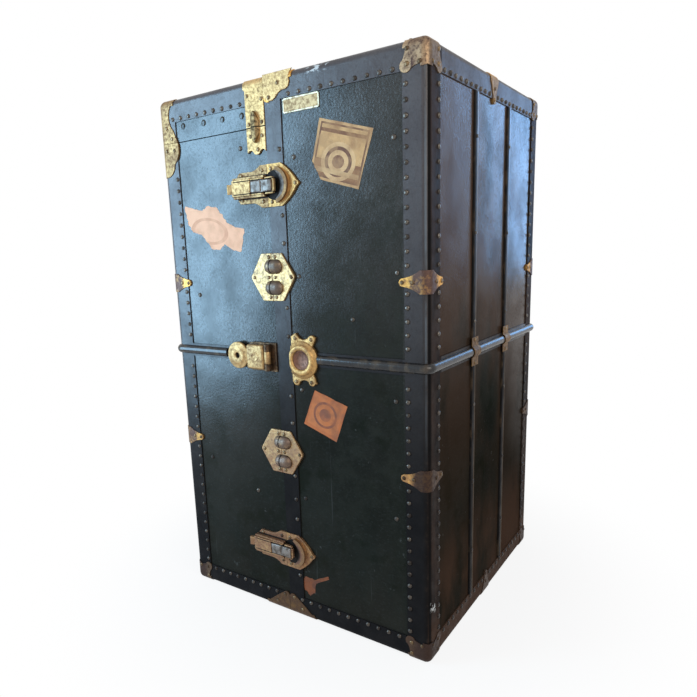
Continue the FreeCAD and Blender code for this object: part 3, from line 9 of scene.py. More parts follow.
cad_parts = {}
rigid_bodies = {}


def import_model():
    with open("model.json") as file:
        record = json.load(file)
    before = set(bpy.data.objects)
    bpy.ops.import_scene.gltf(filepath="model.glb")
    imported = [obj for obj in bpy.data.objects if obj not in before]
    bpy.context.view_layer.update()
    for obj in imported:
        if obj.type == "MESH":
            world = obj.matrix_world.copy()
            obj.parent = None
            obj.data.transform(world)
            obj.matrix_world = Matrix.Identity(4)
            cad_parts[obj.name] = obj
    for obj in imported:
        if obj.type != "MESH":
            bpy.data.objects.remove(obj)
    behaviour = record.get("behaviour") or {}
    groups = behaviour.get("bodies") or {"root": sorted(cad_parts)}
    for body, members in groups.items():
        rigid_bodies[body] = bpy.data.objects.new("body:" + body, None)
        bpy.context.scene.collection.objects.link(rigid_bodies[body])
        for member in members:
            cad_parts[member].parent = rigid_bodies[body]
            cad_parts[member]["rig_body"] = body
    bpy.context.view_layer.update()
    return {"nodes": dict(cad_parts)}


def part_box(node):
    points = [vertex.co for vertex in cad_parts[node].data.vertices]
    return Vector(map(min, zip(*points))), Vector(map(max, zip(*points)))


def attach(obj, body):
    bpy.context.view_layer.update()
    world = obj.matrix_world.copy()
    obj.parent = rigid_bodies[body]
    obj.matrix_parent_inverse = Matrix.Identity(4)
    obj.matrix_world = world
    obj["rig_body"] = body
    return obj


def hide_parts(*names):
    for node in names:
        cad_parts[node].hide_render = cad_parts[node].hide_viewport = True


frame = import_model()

bl_info = {
    "name": "Wardrobe trunk",
    "version": (1, 0, 0),
    "blender": (4, 5, 0),
    "location": "View3D > Sidebar > Trunk",
    "description": "Finishes and small pieces of a wardrobe trunk, around its packed frame",
    "category": "Object",
}

NODES = frame["nodes"]
MM = 0.001

# Faces and levels of the case and its fittings, in millimetres, as the frame has them
OUT_X = 286.0
OUT_Y = 273.0
LOW_Z = 1.5
HIGH_Z = 1014.5
MID_Z = 508.0
SEAM_X = -20.0
BAND_Z = 530.0
LOCK_Z = 528.0
LATCH_Z = (835.0, 141.0)
DOWEL_Z = (676.0, 345.0)
CLAMP_Z = (666.0, 341.0)
SLAT_Y = (-84.0, 84.0)
LID_Z = 935.0
HASP_HEAD_X = -111.9
CATCH_X = -3.0
BOARD_Y = -271.0
INNER_X = 274.5
INNER_Y = 261.5
INNER_Z = 494.8
SLAT_X = 288.5
LEVER_X = (-94.0, -90.0)
RECESS_RADIUS = 25.5
RING_RADIUS = 31.5

# A nail's seat has no step higher than this, and its head dips this far, in metres
SEAT_STEP = 0.0004
HEAD_DIP = 0.0003

# Tones of wear, grime, painted shade and highlights, and small pieces
# Painted shade in the joint under the lid
LID_JOINT_SHADE = (0.002, 0.002, 0.002)
# Painted shade, with some grime, in joints, holes and recesses of the brass
BRASS_SHADE_AND_GRIME = (0.010, 0.008, 0.007)
# Painted shade on brass near the floor, low on the right edge and beside the band
BRASS_LOW_SHADE = (0.030, 0.018, 0.014)
RUBBED_PAINT = (0.075, 0.073, 0.066)
SCRAPED_WHITE = (0.62, 0.62, 0.60)
# Painted shade on the side half of the binding's rounded front corners
BINDING_TURN_SHADE = (0.004, 0.004, 0.0045)
BLACK_GRAIN = (0.014, 0.012, 0.011)
STEEL_SKIN = (0.085, 0.065, 0.052)
NAIL_SKIN = (0.030, 0.025, 0.022)
PIN_METAL = (0.22, 0.15, 0.08)
PIN_SKIN = (0.045, 0.028, 0.018)
HANGER_WOOD = (0.34, 0.20, 0.09)
CUP_BRONZE = (0.24, 0.12, 0.08)
CRESCENT_SKIN = (0.045, 0.034, 0.030)
FLOOR_GRAIN = (0.80, 0.80, 0.80)
PLATE_FIELD = (0.44, 0.30, 0.15)
PLATE_FIELD_SKIN = (0.24, 0.15, 0.07)
PLATE_RIM = (0.62, 0.54, 0.38)
PLATE_RIM_SKIN = (0.30, 0.22, 0.12)


# Sizes and colours that a user would change


def length(label, note, value):
    return bpy.props.FloatProperty(
        name=label, description=note, default=value, min=0.0, unit="LENGTH", subtype="DISTANCE"
    )


def colour(label, note, value):
    return bpy.props.FloatVectorProperty(
        name=label, description=note, default=value, min=0.0, max=1.0, size=3, subtype="COLOR"
    )


class TrunkSizes(bpy.types.PropertyGroup):
    """Sizes of the pieces that are added to the frame"""

    nail_diameter: length("Nail", "Diameter of a nail head on the binding", 0.0084)
    nail_rise: length("Nail rise", "Height of a nail head on the binding", 0.0026)
    nail_pitch: length("Nail pitch", "Distance between nails in a row", 0.0219)
    nail_inset: length("Row inset", "Distance of a nail row from the outside of the case", 0.0367)
    pin_diameter: length("Fitting nail", "Diameter of a nail head on a fitting", 0.0074)
    pin_rise: length("Fitting nail rise", "Height of a nail head on a fitting", 0.0019)
    rivet_diameter: length("Rivet", "Diameter of a loose rivet on a board", 0.0088)
    rivet_rise: length("Rivet rise", "Height of a loose rivet", 0.0022)
    stud_diameter: length("Lid stud", "Diameter of a painted stud on the lid", 0.0112)
    stud_rise: length("Lid stud rise", "Height of a painted stud on the lid", 0.0013)
    slat_round: length("Slat edge", "Rounding of a slat's outer edges", 0.0024)
    paper_thick: length("Paper", "Thickness of a paper label", 0.0003)
    plate_thick: length("Name plate", "Thickness of the name plate", 0.0016)


class TrunkColours(bpy.types.PropertyGroup):
    """Colours of the finishes"""

    paint: colour("Paint", "Dark paint of the boards", (0.0078, 0.0088, 0.0064))
    paint_faded: colour("Faded paint", "Paint where it is thin", (0.0135, 0.0145, 0.0112))
    paint_mottle: colour("Paint mottling", "Fine pale mottling of the paint", (0.024, 0.026, 0.022))
    paint_green: colour("Green paint", "Dark green stains of the paint", (0.0045, 0.0068, 0.0035))
    paint_dull: colour("Dull paint", "Mottled stains of the paint", (0.019, 0.020, 0.015))
    paint_brown: colour("Brown paint", "Brown stain of the side boards", (0.056, 0.031, 0.020))
    binding: colour("Binding", "Fibre binding", (0.0075, 0.0066, 0.0068))
    binding_pale: colour("Faded binding", "Fibre binding where it is faded", (0.0125, 0.0105, 0.0102))
    # Tone laid on the binding more and more towards the top, making it lighter higher up
    binding_upper_tone: colour("Bleached binding", "Fibre binding near the top", (0.078, 0.064, 0.064))
    binding_brown: colour("Brown binding", "Binding on the sides", (0.034, 0.021, 0.016))
    # Painted highlight: a pale bluish line along the rounding of the front corners
    binding_highlight: colour("Edge line", "Worn line along the front corners", (0.12, 0.14, 0.16))
    binding_worn: colour("Worn binding", "Binding where it is rubbed", (0.085, 0.056, 0.038))
    wood_black: colour("Band", "Black band and slats", (0.008, 0.008, 0.009))
    # Worn brown of the band and slats, also laid as a painted highlight along one side of each slat
    wood_wear_and_highlight: colour("Worn band", "Band and slats where they are rubbed", (0.085, 0.058, 0.036))
    brass: colour("Brass", "Clean brass", (0.64, 0.39, 0.14))
    brass_cap: colour("Cap brass", "Grey-brown brass of the corner caps", (0.54, 0.37, 0.21))
    brass_gold: colour("Gold brass", "Orange brass at the tips of the clamps", (0.78, 0.42, 0.10))
    brass_pale: colour("Pale brass", "Brass worn to a cream colour", (0.62, 0.41, 0.18))
    brass_dull: colour("Dull brass", "Brass with a brown skin", (0.20, 0.115, 0.055))
    brass_brown: colour("Brown brass", "Purple-brown skin on caps and clamps", (0.10, 0.058, 0.046))
    brass_grey: colour("Grey brass", "Bronze-grey skin on raised brass", (0.13, 0.10, 0.08))
    brass_olive: colour("Olive brass", "Dark skin on the ridge of the lid strap", (0.085, 0.055, 0.025))
    brass_black: colour("Black brass", "Dark skin of the hasp's base", (0.030, 0.020, 0.015))
    rust: colour("Rust", "Rusty skin on low fittings", (0.20, 0.098, 0.062))
    steel: colour("Steel", "Grey steel", (0.21, 0.185, 0.165))
    nail: colour("Nails", "Nail heads", (0.115, 0.10, 0.085))
    lining: colour("Lining", "Paper lining inside the case", (0.40, 0.27, 0.15))
    lining_line: colour("Lining stripe", "Stripe of the lining", (0.25, 0.15, 0.075))
    wood: colour("Inner wood", "Drawers, shelf and runners", (0.20, 0.095, 0.038))
    wood_dark: colour("Wood grain", "Dark grain of the inner wood", (0.085, 0.036, 0.014))
    floor: colour("Floor", "Pale studio floor", (0.82, 0.82, 0.82))


# Materials


class Nodes:
    """The nodes of a material or a world, put together by name."""

    def __init__(self, owner):
        owner.use_nodes = True
        self.tree = owner.node_tree
        self.tree.nodes.clear()

    def add(self, kind, **settings):
        node = self.tree.nodes.new(kind)
        for key, value in settings.items():
            setattr(node, key, value)
        return node

    def feed(self, socket, value):
        if isinstance(value, bpy.types.NodeSocket):
            self.tree.links.new(value, socket)
        elif socket.type == "RGBA":
            socket.default_value = (*value, 1.0)
        else:
            socket.default_value = value

    def split(self, vector):
        node = self.add("ShaderNodeSeparateXYZ")
        self.feed(node.inputs[0], vector)
        return node.outputs

    def between(self, value, low, high, first=0.0, last=1.0):
        """A smooth step from first to last as value goes from low to high."""
        node = self.add("ShaderNodeMapRange", interpolation_type="SMOOTHSTEP")
        for socket, item in zip(node.inputs, (value, low, high, first, last)):
            self.feed(socket, item)
        return node.outputs["Result"]

    def math(self, kind, first, second=0.0):
        node = self.add("ShaderNodeMath", operation=kind)
        self.feed(node.inputs[0], first)
        self.feed(node.inputs[1], second)
        return node.outputs[0]

    def plus(self, first, second):
        return self.math("ADD", first, second)

    def minus(self, first, second):
        return self.math("SUBTRACT", first, second)

    def rest(self, value):
        return self.minus(1.0, value)

    def least(self, first, second):
        return self.math("MINIMUM", first, second)

    def under(self, value, limit):
        return self.math("LESS_THAN", value, limit)

    def over(self, value, limit):
        return self.math("GREATER_THAN", value, limit)

    def reach(self, u, v, across=0.0, up=0.0):
        """Distance of (u, v) from (across, up)."""
        du = self.minus(u, across)
        dv = self.minus(v, up)
        return self.math("SQRT", self.plus(self.times(du, du), self.times(dv, dv)))

    def times(self, *values):
        total = values[0]
        for value in values[1:]:
            total = self.math("MULTIPLY", total, value)
        return total

    def most(self, *values):
        total = values[0]
        for value in values[1:]:
            total = self.math("MAXIMUM", total, value)
        return total

    def away(self, value, centre=0.0):
        return self.math("ABSOLUTE", self.minus(value, centre))

    def blend(self, amount, first, second):
        node = self.add("ShaderNodeMix", data_type="RGBA")
        self.feed(node.inputs[0], amount)
        self.feed(node.inputs[6], first)
        self.feed(node.inputs[7], second)
        return node.outputs[2]

    def pick(self, amount, first, second):
        node = self.add("ShaderNodeMix", data_type="FLOAT")
        for socket, value in zip(node.inputs[:1] + node.inputs[2:4], (amount, first, second)):
            self.feed(socket, value)
        return node.outputs[0]


class Finish(Nodes):
    """One procedural material. Patterns are laid on Object coordinates, in metres."""

    def __init__(self, name, base):
        self.material = bpy.data.materials.new(name)
        super().__init__(self.material)
        self.surface = self.add("ShaderNodeOutputMaterial").inputs["Surface"]
        self.shader = self.add("ShaderNodeBsdfPrincipled")
        self.feed(self.surface, self.shader.outputs["BSDF"])
        self.place = self.add("ShaderNodeTexCoord").outputs["Object"]
        self.x, self.y, self.z = self.split(self.place)
        self.base = base
        self.normal = None

    def lay(self, mask, tone):
        """Lays a tone over the colour so far, as much as the mask says."""
        self.base = self.blend(mask, self.base, tone)

    def noise(self, size, detail=3.0, rough=0.55, stretch=(1, 1, 1), shift=(0, 0, 0)):
        """Soft noise whose patches are about size metres across, drawn out by stretch."""
        mapping = self.add("ShaderNodeMapping")
        self.feed(mapping.inputs["Vector"], self.place)
        mapping.inputs["Location"].default_value = shift
        mapping.inputs["Scale"].default_value = [1 / (size * part) for part in stretch]
        texture = self.add("ShaderNodeTexNoise")
        self.feed(texture.inputs["Vector"], mapping.outputs["Vector"])
        texture.inputs["Scale"].default_value = 1.0
        texture.inputs["Detail"].default_value = detail
        texture.inputs["Roughness"].default_value = rough
        return texture.outputs["Fac"]

    def patches(self, size, low, high, first=0.0, last=1.0, **look):
        """Patches of noise that go from first to last as the noise goes from low to high."""
        return self.between(self.noise(size, **look), low, high, first, last)

    def proud(self, low, high):
        """Nought to one between two depths, in millimetres in front of the case's middle."""
        return self.between(self.y, -low * MM, -high * MM)

    def soften(self, radius):
        """Rounds the sharp edges of a solid in its shading."""
        node = self.add("ShaderNodeBevel", samples=4)
        node.inputs["Radius"].default_value = radius
        self.normal = node.outputs["Normal"]

    def bump(self, height, depth):
        node = self.add("ShaderNodeBump")
        node.inputs["Strength"].default_value = 1.0
        node.inputs["Distance"].default_value = depth
        self.feed(node.inputs["Height"], height)
        if self.normal is not None:
            self.feed(node.inputs["Normal"], self.normal)
        self.normal = node.outputs["Normal"]

    def varnish(self, weight, roughness):
        """A clear coat that can be worn away in places."""
        self.feed(self.shader.inputs["Coat Weight"], weight)
        self.shader.inputs["Coat Roughness"].default_value = roughness
        if self.normal is not None:
            self.feed(self.shader.inputs["Coat Normal"], self.normal)

    def done(self, roughness, metallic=0.0, level=0.5):
        self.feed(self.shader.inputs["Base Color"], self.base)
        self.feed(self.shader.inputs["Roughness"], roughness)
        self.feed(self.shader.inputs["Metallic"], metallic)
        self.shader.inputs["Specular IOR Level"].default_value = level
        if self.normal is not None:
            self.feed(self.shader.inputs["Normal"], self.normal)
        return self.material


def edge_mask(f, reach):
    """One along the outer edges of the case, nought on its faces."""
    near = [
        f.between(f.away(f.x), OUT_X * MM - reach, OUT_X * MM),
        f.between(f.away(f.y), OUT_Y * MM - reach, OUT_Y * MM),
        f.between(f.away(f.z, MID_Z * MM), (HIGH_Z - MID_Z) * MM - reach, (HIGH_Z - MID_Z) * MM),
    ]
    return f.most(f.times(near[0], near[1]), f.times(near[1], near[2]), f.times(near[0], near[2]))


def inside_mask(f):
    """One on the inner faces of the boards."""
    return f.times(
        f.under(f.away(f.x), INNER_X * MM),
        f.under(f.away(f.y), INNER_Y * MM),
        f.under(f.away(f.z, MID_Z * MM), INNER_Z * MM),
    )


def worn_varnish(f, low, high, least):
    """Weight of the old varnish: whole near the top, patchy, rubbed away towards the floor.

    It reaches lower on the left half and far back on the sides than on the drawer half's front.
    """
    rise = f.most(f.between(f.x, 0.0, -0.14, 0.0, 0.15), f.between(f.y, 0.02, 0.24, 0.0, 0.22))
    fall = f.times(f.between(f.x, -0.02, 0.10, 0.0, -0.12), f.under(f.x, 0.24))
    level = f.plus(f.z, f.plus(rise, fall))
    whole = f.between(level, low, high, least, 1.0)
    patchy = f.patches(0.07, 0.30, 0.66, 0.62, 1.0, detail=6.0, shift=(8, 3, 6))
    thin = f.patches(0.005, 0.45, 0.72, 1.0, 0.72, detail=5.0)
    return f.times(whole, patchy, thin)


def lid_joint_shade(f):
    """Painted shade in the joint under the lid, on the hanger half."""
    near = f.between(f.away(f.z, LID_Z * MM), 0.0013, 0.0005)
    return f.times(near, f.under(f.x, SEAM_X * MM))


def dull_stains(f):
    """Dull mottled stains on the drawer half's front, below its top."""
    where = f.times(f.between(f.x, 0.01, 0.09), f.under(f.x, 0.28), f.between(f.z, 0.90, 0.76))
    mottled = f.patches(0.042, 0.42, 0.60, detail=12.0, rough=0.78, shift=(1, 9, 4))
    return f.times(where, mottled)


def board_finish(name, brown, level, coat_low, coat_high, coat_near, coat_rough):
    """Old varnished paint on fibre board outside, striped paper inside."""
    c = bpy.context.scene.trunk_colours
    f = Finish(name, c.paint)
    f.lay(f.patches(0.17, 0.35, 0.72, detail=5.0), c.paint_faded)
    mottle = f.patches(0.0035, 0.52, 0.72, 0.0, 0.5, detail=4.0, stretch=(1.6, 1.6, 1))
    f.lay(mottle, c.paint_mottle)
    green = f.patches(0.055, 0.52, 0.66, 0.0, 0.75, detail=6.0, shift=(6, 2, 9))
    f.lay(green, c.paint_green)
    stain = f.patches(0.11, 0.30, 0.60, detail=6.0, stretch=(1, 1, 2.2), shift=(3, 1, 2))
    upper = f.most(f.between(f.z, 0.20, 0.75, 0.22, 1.0), f.between(f.z, 0.32, 0.08))
    dull = dull_stains(f)
    f.lay(f.times(dull, f.between(f.z, 0.1, 0.6, 0.3, 0.9)), c.paint_dull)
    f.lay(f.times(stain, upper, brown), c.paint_brown)
    scratch = f.patches(0.004, 0.70, 0.78, detail=2.0, stretch=(1, 1, 40))
    scuff = f.patches(0.012, 0.69, 0.75, detail=4.0, shift=(5, 5, 5))
    rubbed = f.most(f.times(scuff, 0.5), f.times(scratch, 0.3))
    f.lay(rubbed, RUBBED_PAINT)
    stripe = f.between(f.math("PINGPONG", f.plus(f.x, f.y), 0.012), 0.0078, 0.0085)
    paper = f.blend(f.times(stripe, f.patches(0.02, 0.2, 0.6)), c.lining, c.lining_line)
    inside = inside_mask(f)
    # Painted shade along the lid joint, left without varnish
    grime = lid_joint_shade(f)
    f.lay(grime, LID_JOINT_SHADE)
    f.lay(inside, paper)
    f.bump(f.noise(0.22, detail=2.0), 0.003)
    f.bump(f.noise(0.004, detail=4.0), 0.0003)
    bare = f.rest(f.most(inside, grime))
    near = f.between(f.y, -0.24, 0.06, coat_near, 1.0)
    whole = f.rest(f.times(dull, 0.55))
    f.varnish(f.times(worn_varnish(f, coat_low, coat_high, 0.02), bare, near, whole), coat_rough)
    return f.done(f.patches(0.05, 0.3, 0.7, 0.55, 0.8, detail=4.0), level=level)


def bare_scuffs(f):
    """White scrapes on the top edge of the drawer half and low on its front corner."""
    flake = f.patches(0.007, 0.53, 0.58, detail=5.0, stretch=(2, 1, 1))
    top = f.times(
        f.between(f.away(f.x, 0.092), 0.026, 0.012), f.between(f.z, 0.998, 1.006),
        f.under(f.y, -0.255),
    )
    corner = f.times(
        f.between(f.away(f.z, 0.108), 0.016, 0.008), f.between(f.away(f.y, -0.256), 0.012, 0.006),
        f.over(f.x, 0.28),
    )
    return f.times(flake, f.most(top, corner))


def binding_finish():
    """Charcoal fibre, brown on the side legs, with a painted highlight line along the front corners and
    painted shade on the side half of their rounding.
    """
    c = bpy.context.scene.trunk_colours
    f = Finish("binding_fibre", c.binding)
    f.lay(f.patches(0.035, 0.35, 0.7, detail=5.0), c.binding_pale)
    # Lighter towards the top
    f.lay(f.between(f.z, 0.35, 0.95, 0.0, 0.8), c.binding_upper_tone)
    out = f.away(f.x)
    deep = f.away(f.y)
    on_side = f.between(out, 0.281, 0.2845)
    leg = f.times(on_side, f.most(f.between(deep, 0.222, 0.229), f.between(f.z, 0.075, 0.06)))
    rail = f.times(on_side, f.between(f.z, 0.955, 0.965))
    streak = f.patches(0.05, 0.35, 0.66, detail=5.0, stretch=(1, 1, 3))
    f.lay(leg, f.blend(streak, c.binding_brown, c.binding))
    f.lay(f.times(on_side, f.between(f.z, 0.12, 0.04)), c.paint_brown)
    fine = f.patches(0.003, 0.5, 0.72, 0.0, 0.4, detail=4.0)
    f.lay(fine, c.binding_pale)
    rub = f.times(edge_mask(f, 0.012), f.patches(0.010, 0.52, 0.64, detail=6.0))
    f.lay(f.times(rub, 0.25), c.binding_worn)
    # Painted highlight: a bluish line on the front part of the corner rounding, stronger higher up
    line = f.times(f.between(f.away(out, 0.2805), 0.0022, 0.0008), f.between(deep, 0.268, 0.2705))
    broken = f.patches(0.02, 0.34, 0.6, detail=5.0, stretch=(1, 1, 4))
    f.lay(f.times(line, broken, f.between(f.z, 0.25, 0.8, 0.0, 0.9)), c.binding_highlight)
    # Painted shade: the side half of the corner rounding is painted near black, without varnish
    turn = f.times(f.between(out, 0.2824, 0.2834), f.between(deep, 0.2625, 0.266))
    f.lay(f.times(turn, 0.9), BINDING_TURN_SHADE)
    f.lay(bare_scuffs(f), SCRAPED_WHITE)
    f.bump(f.noise(0.03, detail=3.0), 0.0006)
    f.bump(f.noise(0.002, detail=2.0), 0.0001)
    kept = f.rest(f.most(f.times(leg, 0.9), f.times(rail, 0.4), turn))
    f.varnish(f.times(worn_varnish(f, 0.22, 0.85, 0.02), kept, 0.9), 0.32)
    return f.done(f.patches(0.03, 0.3, 0.7, 0.5, 0.75, detail=4.0), level=0.04)


def black_wood_finish():
    """Black painted wood, rubbed through to brown on the crown and edges, with a painted highlight
    along one side of each slat.
    """
    c = bpy.context.scene.trunk_colours
    f = Finish("black_wood", c.wood_black)
    slat_edge = f.between(f.away(f.away(f.y), SLAT_Y[1] * MM), 0.0055, 0.0078)
    on_slat = f.under(f.away(f.x), SLAT_X * MM)
    crown = f.between(f.away(f.z, BAND_Z * MM), 0.004, 0.0, 0.0, 0.55)
    worn = f.most(f.times(slat_edge, on_slat), crown)
    rub = f.times(worn, f.patches(0.02, 0.48, 0.66, detail=6.0, stretch=(1, 1, 2)))
    grain = f.noise(0.004, detail=3.0, stretch=(1, 1, 12))
    f.lay(f.between(grain, 0.35, 0.7), BLACK_GRAIN)
    f.lay(f.times(rub, 0.7), c.wood_wear_and_highlight)
    centre = f.pick(f.over(f.y, 0.0), SLAT_Y[0] * MM, SLAT_Y[1] * MM)
    across = f.minus(f.y, centre)
    # Painted highlight: the half of each slat towards its +y edge is painted lighter along its whole
    # length
    f.lay(f.times(f.between(across, 0.0, 0.004), on_slat, 0.8), c.wood_wear_and_highlight)
    f.bump(grain, 0.0002)
    band = f.between(f.away(f.z, BAND_Z * MM), 0.014, 0.010, 0.0, 0.75)
    slat = f.times(f.between(f.z, 0.4, 1.0, 0.0, 0.9), f.between(across, -0.002, 0.003, 0.1, 1.0))
    f.varnish(f.most(band, f.times(slat, on_slat)), 0.2)
    return f.done(f.patches(0.03, 0.3, 0.7, 0.5, 0.7, detail=4.0), level=0.06)


def brass_finish(name, bright, dull, shine, dullness, shade=None, grime=None):
    """Old brass with a speckled skin, rusty low down, with painted shade at the floor and on some
    clamps.

    The functions shade and grime give masks: where the skin is thick, and where painted shade and grime
    lie.
    """
    c = bpy.context.scene.trunk_colours
    f = Finish(name, bright)
    f.soften(0.0008)
    speck = f.noise(0.0055, detail=6.0, rough=0.65)
    cloud = f.noise(0.028, detail=4.0, shift=(2, 7, 1))
    skin = f.plus(f.between(speck, 0.42, 0.72, 0.0, 0.55), f.between(cloud, 0.3, 0.7, 0.0, 0.4))
    amount = f.plus(skin, dullness)
    spared = 1.0
    if shade is not None:
        skinned = shade(f)
        amount = f.plus(amount, f.times(skinned, 0.7))
        spared = f.between(skinned, 0.0, 1.0, 1.0, 0.35)
    f.lay(f.most(f.least(amount, 1.0), 0.0), dull)
    # Greyer tone on the outer face of the right-hand caps near the top
    grey_upper_side = f.times(f.between(f.x, 0.284, 0.2865), f.between(f.z, 0.93, 0.945, 0.0, 0.65))
    f.lay(grey_upper_side, c.brass_grey)
    low = f.between(f.z, 0.29, 0.49, 0.82, 0.0)
    spots = f.patches(0.009, 0.25, 0.62, 0.45, 1.0, detail=5.0, shift=(4, 4, 4))
    rusty = f.times(low, spots, spared, f.between(f.x, -0.25, -0.23, 0.4, 1.0))
    f.lay(rusty, c.rust)
    # Painted shade: brass darkened at the foot of the sides, low on the right edge and beside the band
    foot = f.times(f.between(f.z, 0.085, 0.055), f.between(f.x, 0.284, 0.287, 0.8, 0.92))
    edge = f.times(f.between(f.x, 0.250, 0.266), f.between(f.z, 0.42, 0.36, 0.0, 0.85))
    beside = f.between(f.away(f.x), 0.2865, 0.288)
    band = f.times(beside, f.between(f.away(f.z, BAND_Z * MM), 0.075, 0.06, 0.0, 0.78))
    f.lay(f.most(foot, edge, band), BRASS_LOW_SHADE)
    if grime is not None:
        # Painted shade, with some grime, where the grime mask lies
        f.lay(grime(f), BRASS_SHADE_AND_GRIME)
    rough = f.between(speck, 0.3, 0.7, shine - 0.06, shine + 0.14)
    f.bump(speck, 0.0003)
    f.bump(f.noise(0.011, detail=3.0), 0.0005)
    return f.done(rough, metallic=0.85)


def clamp_body(f):
    """One on a cap or clamp next to the case edge, nought at its tips and near the seam."""
    inset_x = f.minus(OUT_X * MM, f.away(f.x))
    inset_y = f.minus(OUT_Y * MM, f.away(f.y))
    near = f.between(f.most(inset_x, inset_y), 0.022, 0.036, 1.0, 0.0)
    return f.times(near, f.between(f.z, 0.80, 0.98, 1.0, 0.45))


def strap_ridge(f):
    """Brown skin on the raised ridge of the lid strap."""
    return f.proud(275.2, 276.2)


def dowel_dome(f):
    """Bronze skin on the raised barrels of the dowel plates."""
    return f.proud(276.6, 277.6)


def seam_shade(f):
    """Painted shade in the joint between the barrels and round their feet."""
    split = f.between(f.away(f.x, SEAM_X * MM), 0.0019, 0.0008)
    foot = f.times(f.proud(276.1, 276.4), f.proud(277.8, 277.0))
    return f.most(f.times(split, f.proud(276.6, 277.6)), foot)


def lid_split_shade(f):
    """Painted shade in the split of the strap and round the foot of its ridge."""
    split = f.between(f.away(f.z, LID_Z * MM), 0.0014, 0.0005)
    foot = f.times(f.proud(275.1, 275.4), f.proud(276.6, 276.0))
    return f.most(split, f.times(foot, 0.8))


def lever_side(f):
    """One from the left end of the latch levers on."""
    return f.between(f.x, LEVER_X[0] * MM, LEVER_X[1] * MM)


def lever_bed(f):
    """Painted shade and grime on the latch plates beside the levers."""
    masks = [f.between(f.away(f.z, level * MM), 0.0215, 0.0195) for level in LATCH_Z]
    return f.times(f.most(*masks), f.proud(277.5, 276.5), lever_side(f))


def lever_gap(f):
    """Painted shade in the thin joint between the block of a lever and its rails."""
    masks = []
    for level in LATCH_Z:
        out = f.away(f.z, level * MM)
        masks.append(f.times(f.between(out, 0.0098, 0.0106), f.between(out, 0.0124, 0.0116)))
    return f.times(f.most(*masks), lever_side(f))


def hasp_body(f):
    """Brown skin on the body of the hasp and its knuckles."""
    return f.between(f.x, -0.090, -0.082, 0.0, 0.35)


def key_hole(f):
    """Painted shade in the hole in the head of the hasp."""
    reach = f.reach(f.x, f.z, HASP_HEAD_X * MM, LOCK_Z * MM)
    return f.between(reach, 0.0058, 0.0050)


def catch_reach(f):
    """Distance from the middle of the nearer catch plate."""
    return f.least(*[f.reach(f.x, f.z, CATCH_X * MM, level * MM) for level in LATCH_Z])


def catch_recess(f):
    """Painted shade on the catch plates inside the crescents."""
    inside = f.under(catch_reach(f), RECESS_RADIUS * MM)
    return f.times(inside, f.proud(277.5, 276.5))


def catch_ring(f):
    """Brown skin on the raised rings of the catch plates."""
    inside = f.under(catch_reach(f), RING_RADIUS * MM)
    return f.times(inside, f.proud(277.2, 278.5))


def crescent_hollow(f):
    """Painted shade along the inner edges of the crescents."""
    return f.between(catch_reach(f), 0.0228, 0.0178, 0.0, 0.95)


def steel_finish():
    c = bpy.context.scene.trunk_colours
    f = Finish("grey_steel", c.steel)
    f.soften(0.0005)
    skin = f.noise(0.012, detail=5.0)
    f.lay(f.between(skin, 0.40, 0.66), STEEL_SKIN)
    f.bump(f.noise(0.003, detail=3.0), 0.0002)
    return f.done(f.between(skin, 0.3, 0.7, 0.42, 0.62), metallic=0.8)


def nail_finish(name, bright, dull):
    """Nail heads: bright or dull from one to the next, darker near the floor."""
    f = Finish(name, bright)
    change = f.noise(0.019, detail=1.0)
    grime = f.noise(0.0025, detail=3.0)
    on_side = f.between(f.away(f.x), 0.284, 0.286, 0.45, 1.0)
    low = f.times(f.between(f.z, 0.15, 0.6, 1.0, 0.0), on_side)
    share = f.plus(f.between(change, 0.42, 0.68, 0.0, 0.7), low)
    f.lay(f.least(share, 1.0), dull)
    f.lay(f.between(grime, 0.55, 0.68, 0.0, 0.7), dull)
    f.bump(grime, 0.00015)
    return f.done(f.between(change, 0.3, 0.7, 0.32, 0.5), metallic=0.9)


def wood_finish(name, tone, dark, gloss):
    """Varnished wood with its grain across the fronts and along the sides."""
    f = Finish(name, tone)
    facing = f.split(f.add("ShaderNodeTexCoord").outputs["Normal"])
    side = f.over(f.away(facing[1]), 0.7)

    def grain(size, detail):
        front = f.noise(size, detail=detail, stretch=(1, 22, 1))
        return f.pick(side, front, f.noise(size, detail=detail, stretch=(22, 1, 1)))

    rings = grain(0.013, 4.0)
    pores = grain(0.0016, 2.0)
    f.lay(f.between(rings, 0.38, 0.66), dark)
    f.lay(f.between(pores, 0.62, 0.72, 0.0, 0.5), dark)
    f.lay(f.patches(0.2, 0.5, 0.8, 0.0, 0.35, detail=4.0), dark)
    f.bump(pores, 0.00015)
    return f.done(f.between(rings, 0.3, 0.7, gloss, gloss + 0.15), level=0.4)


def paint_nodes(material, *names):
    for name in names:
        node = NODES[name]
        for slot in node.material_slots:
            slot.material = material


# Mesh helpers


def placed(name, data):
    """A new object in the scene."""
    item = bpy.data.objects.new(name, data)
    bpy.context.scene.collection.objects.link(item)
    return item


def new_piece(bm, name, body, material, smooth=True):
    """Turns a bmesh into an object that rides on a body."""
    bmesh.ops.remove_doubles(bm, verts=bm.verts, dist=1e-6)
    mesh = bpy.data.meshes.new(name)
    bm.to_mesh(mesh)
    bm.free()
    mesh.materials.append(material)
    if smooth:
        mesh.shade_smooth()
    piece = placed(name, mesh)
    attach(piece, body)
    return piece


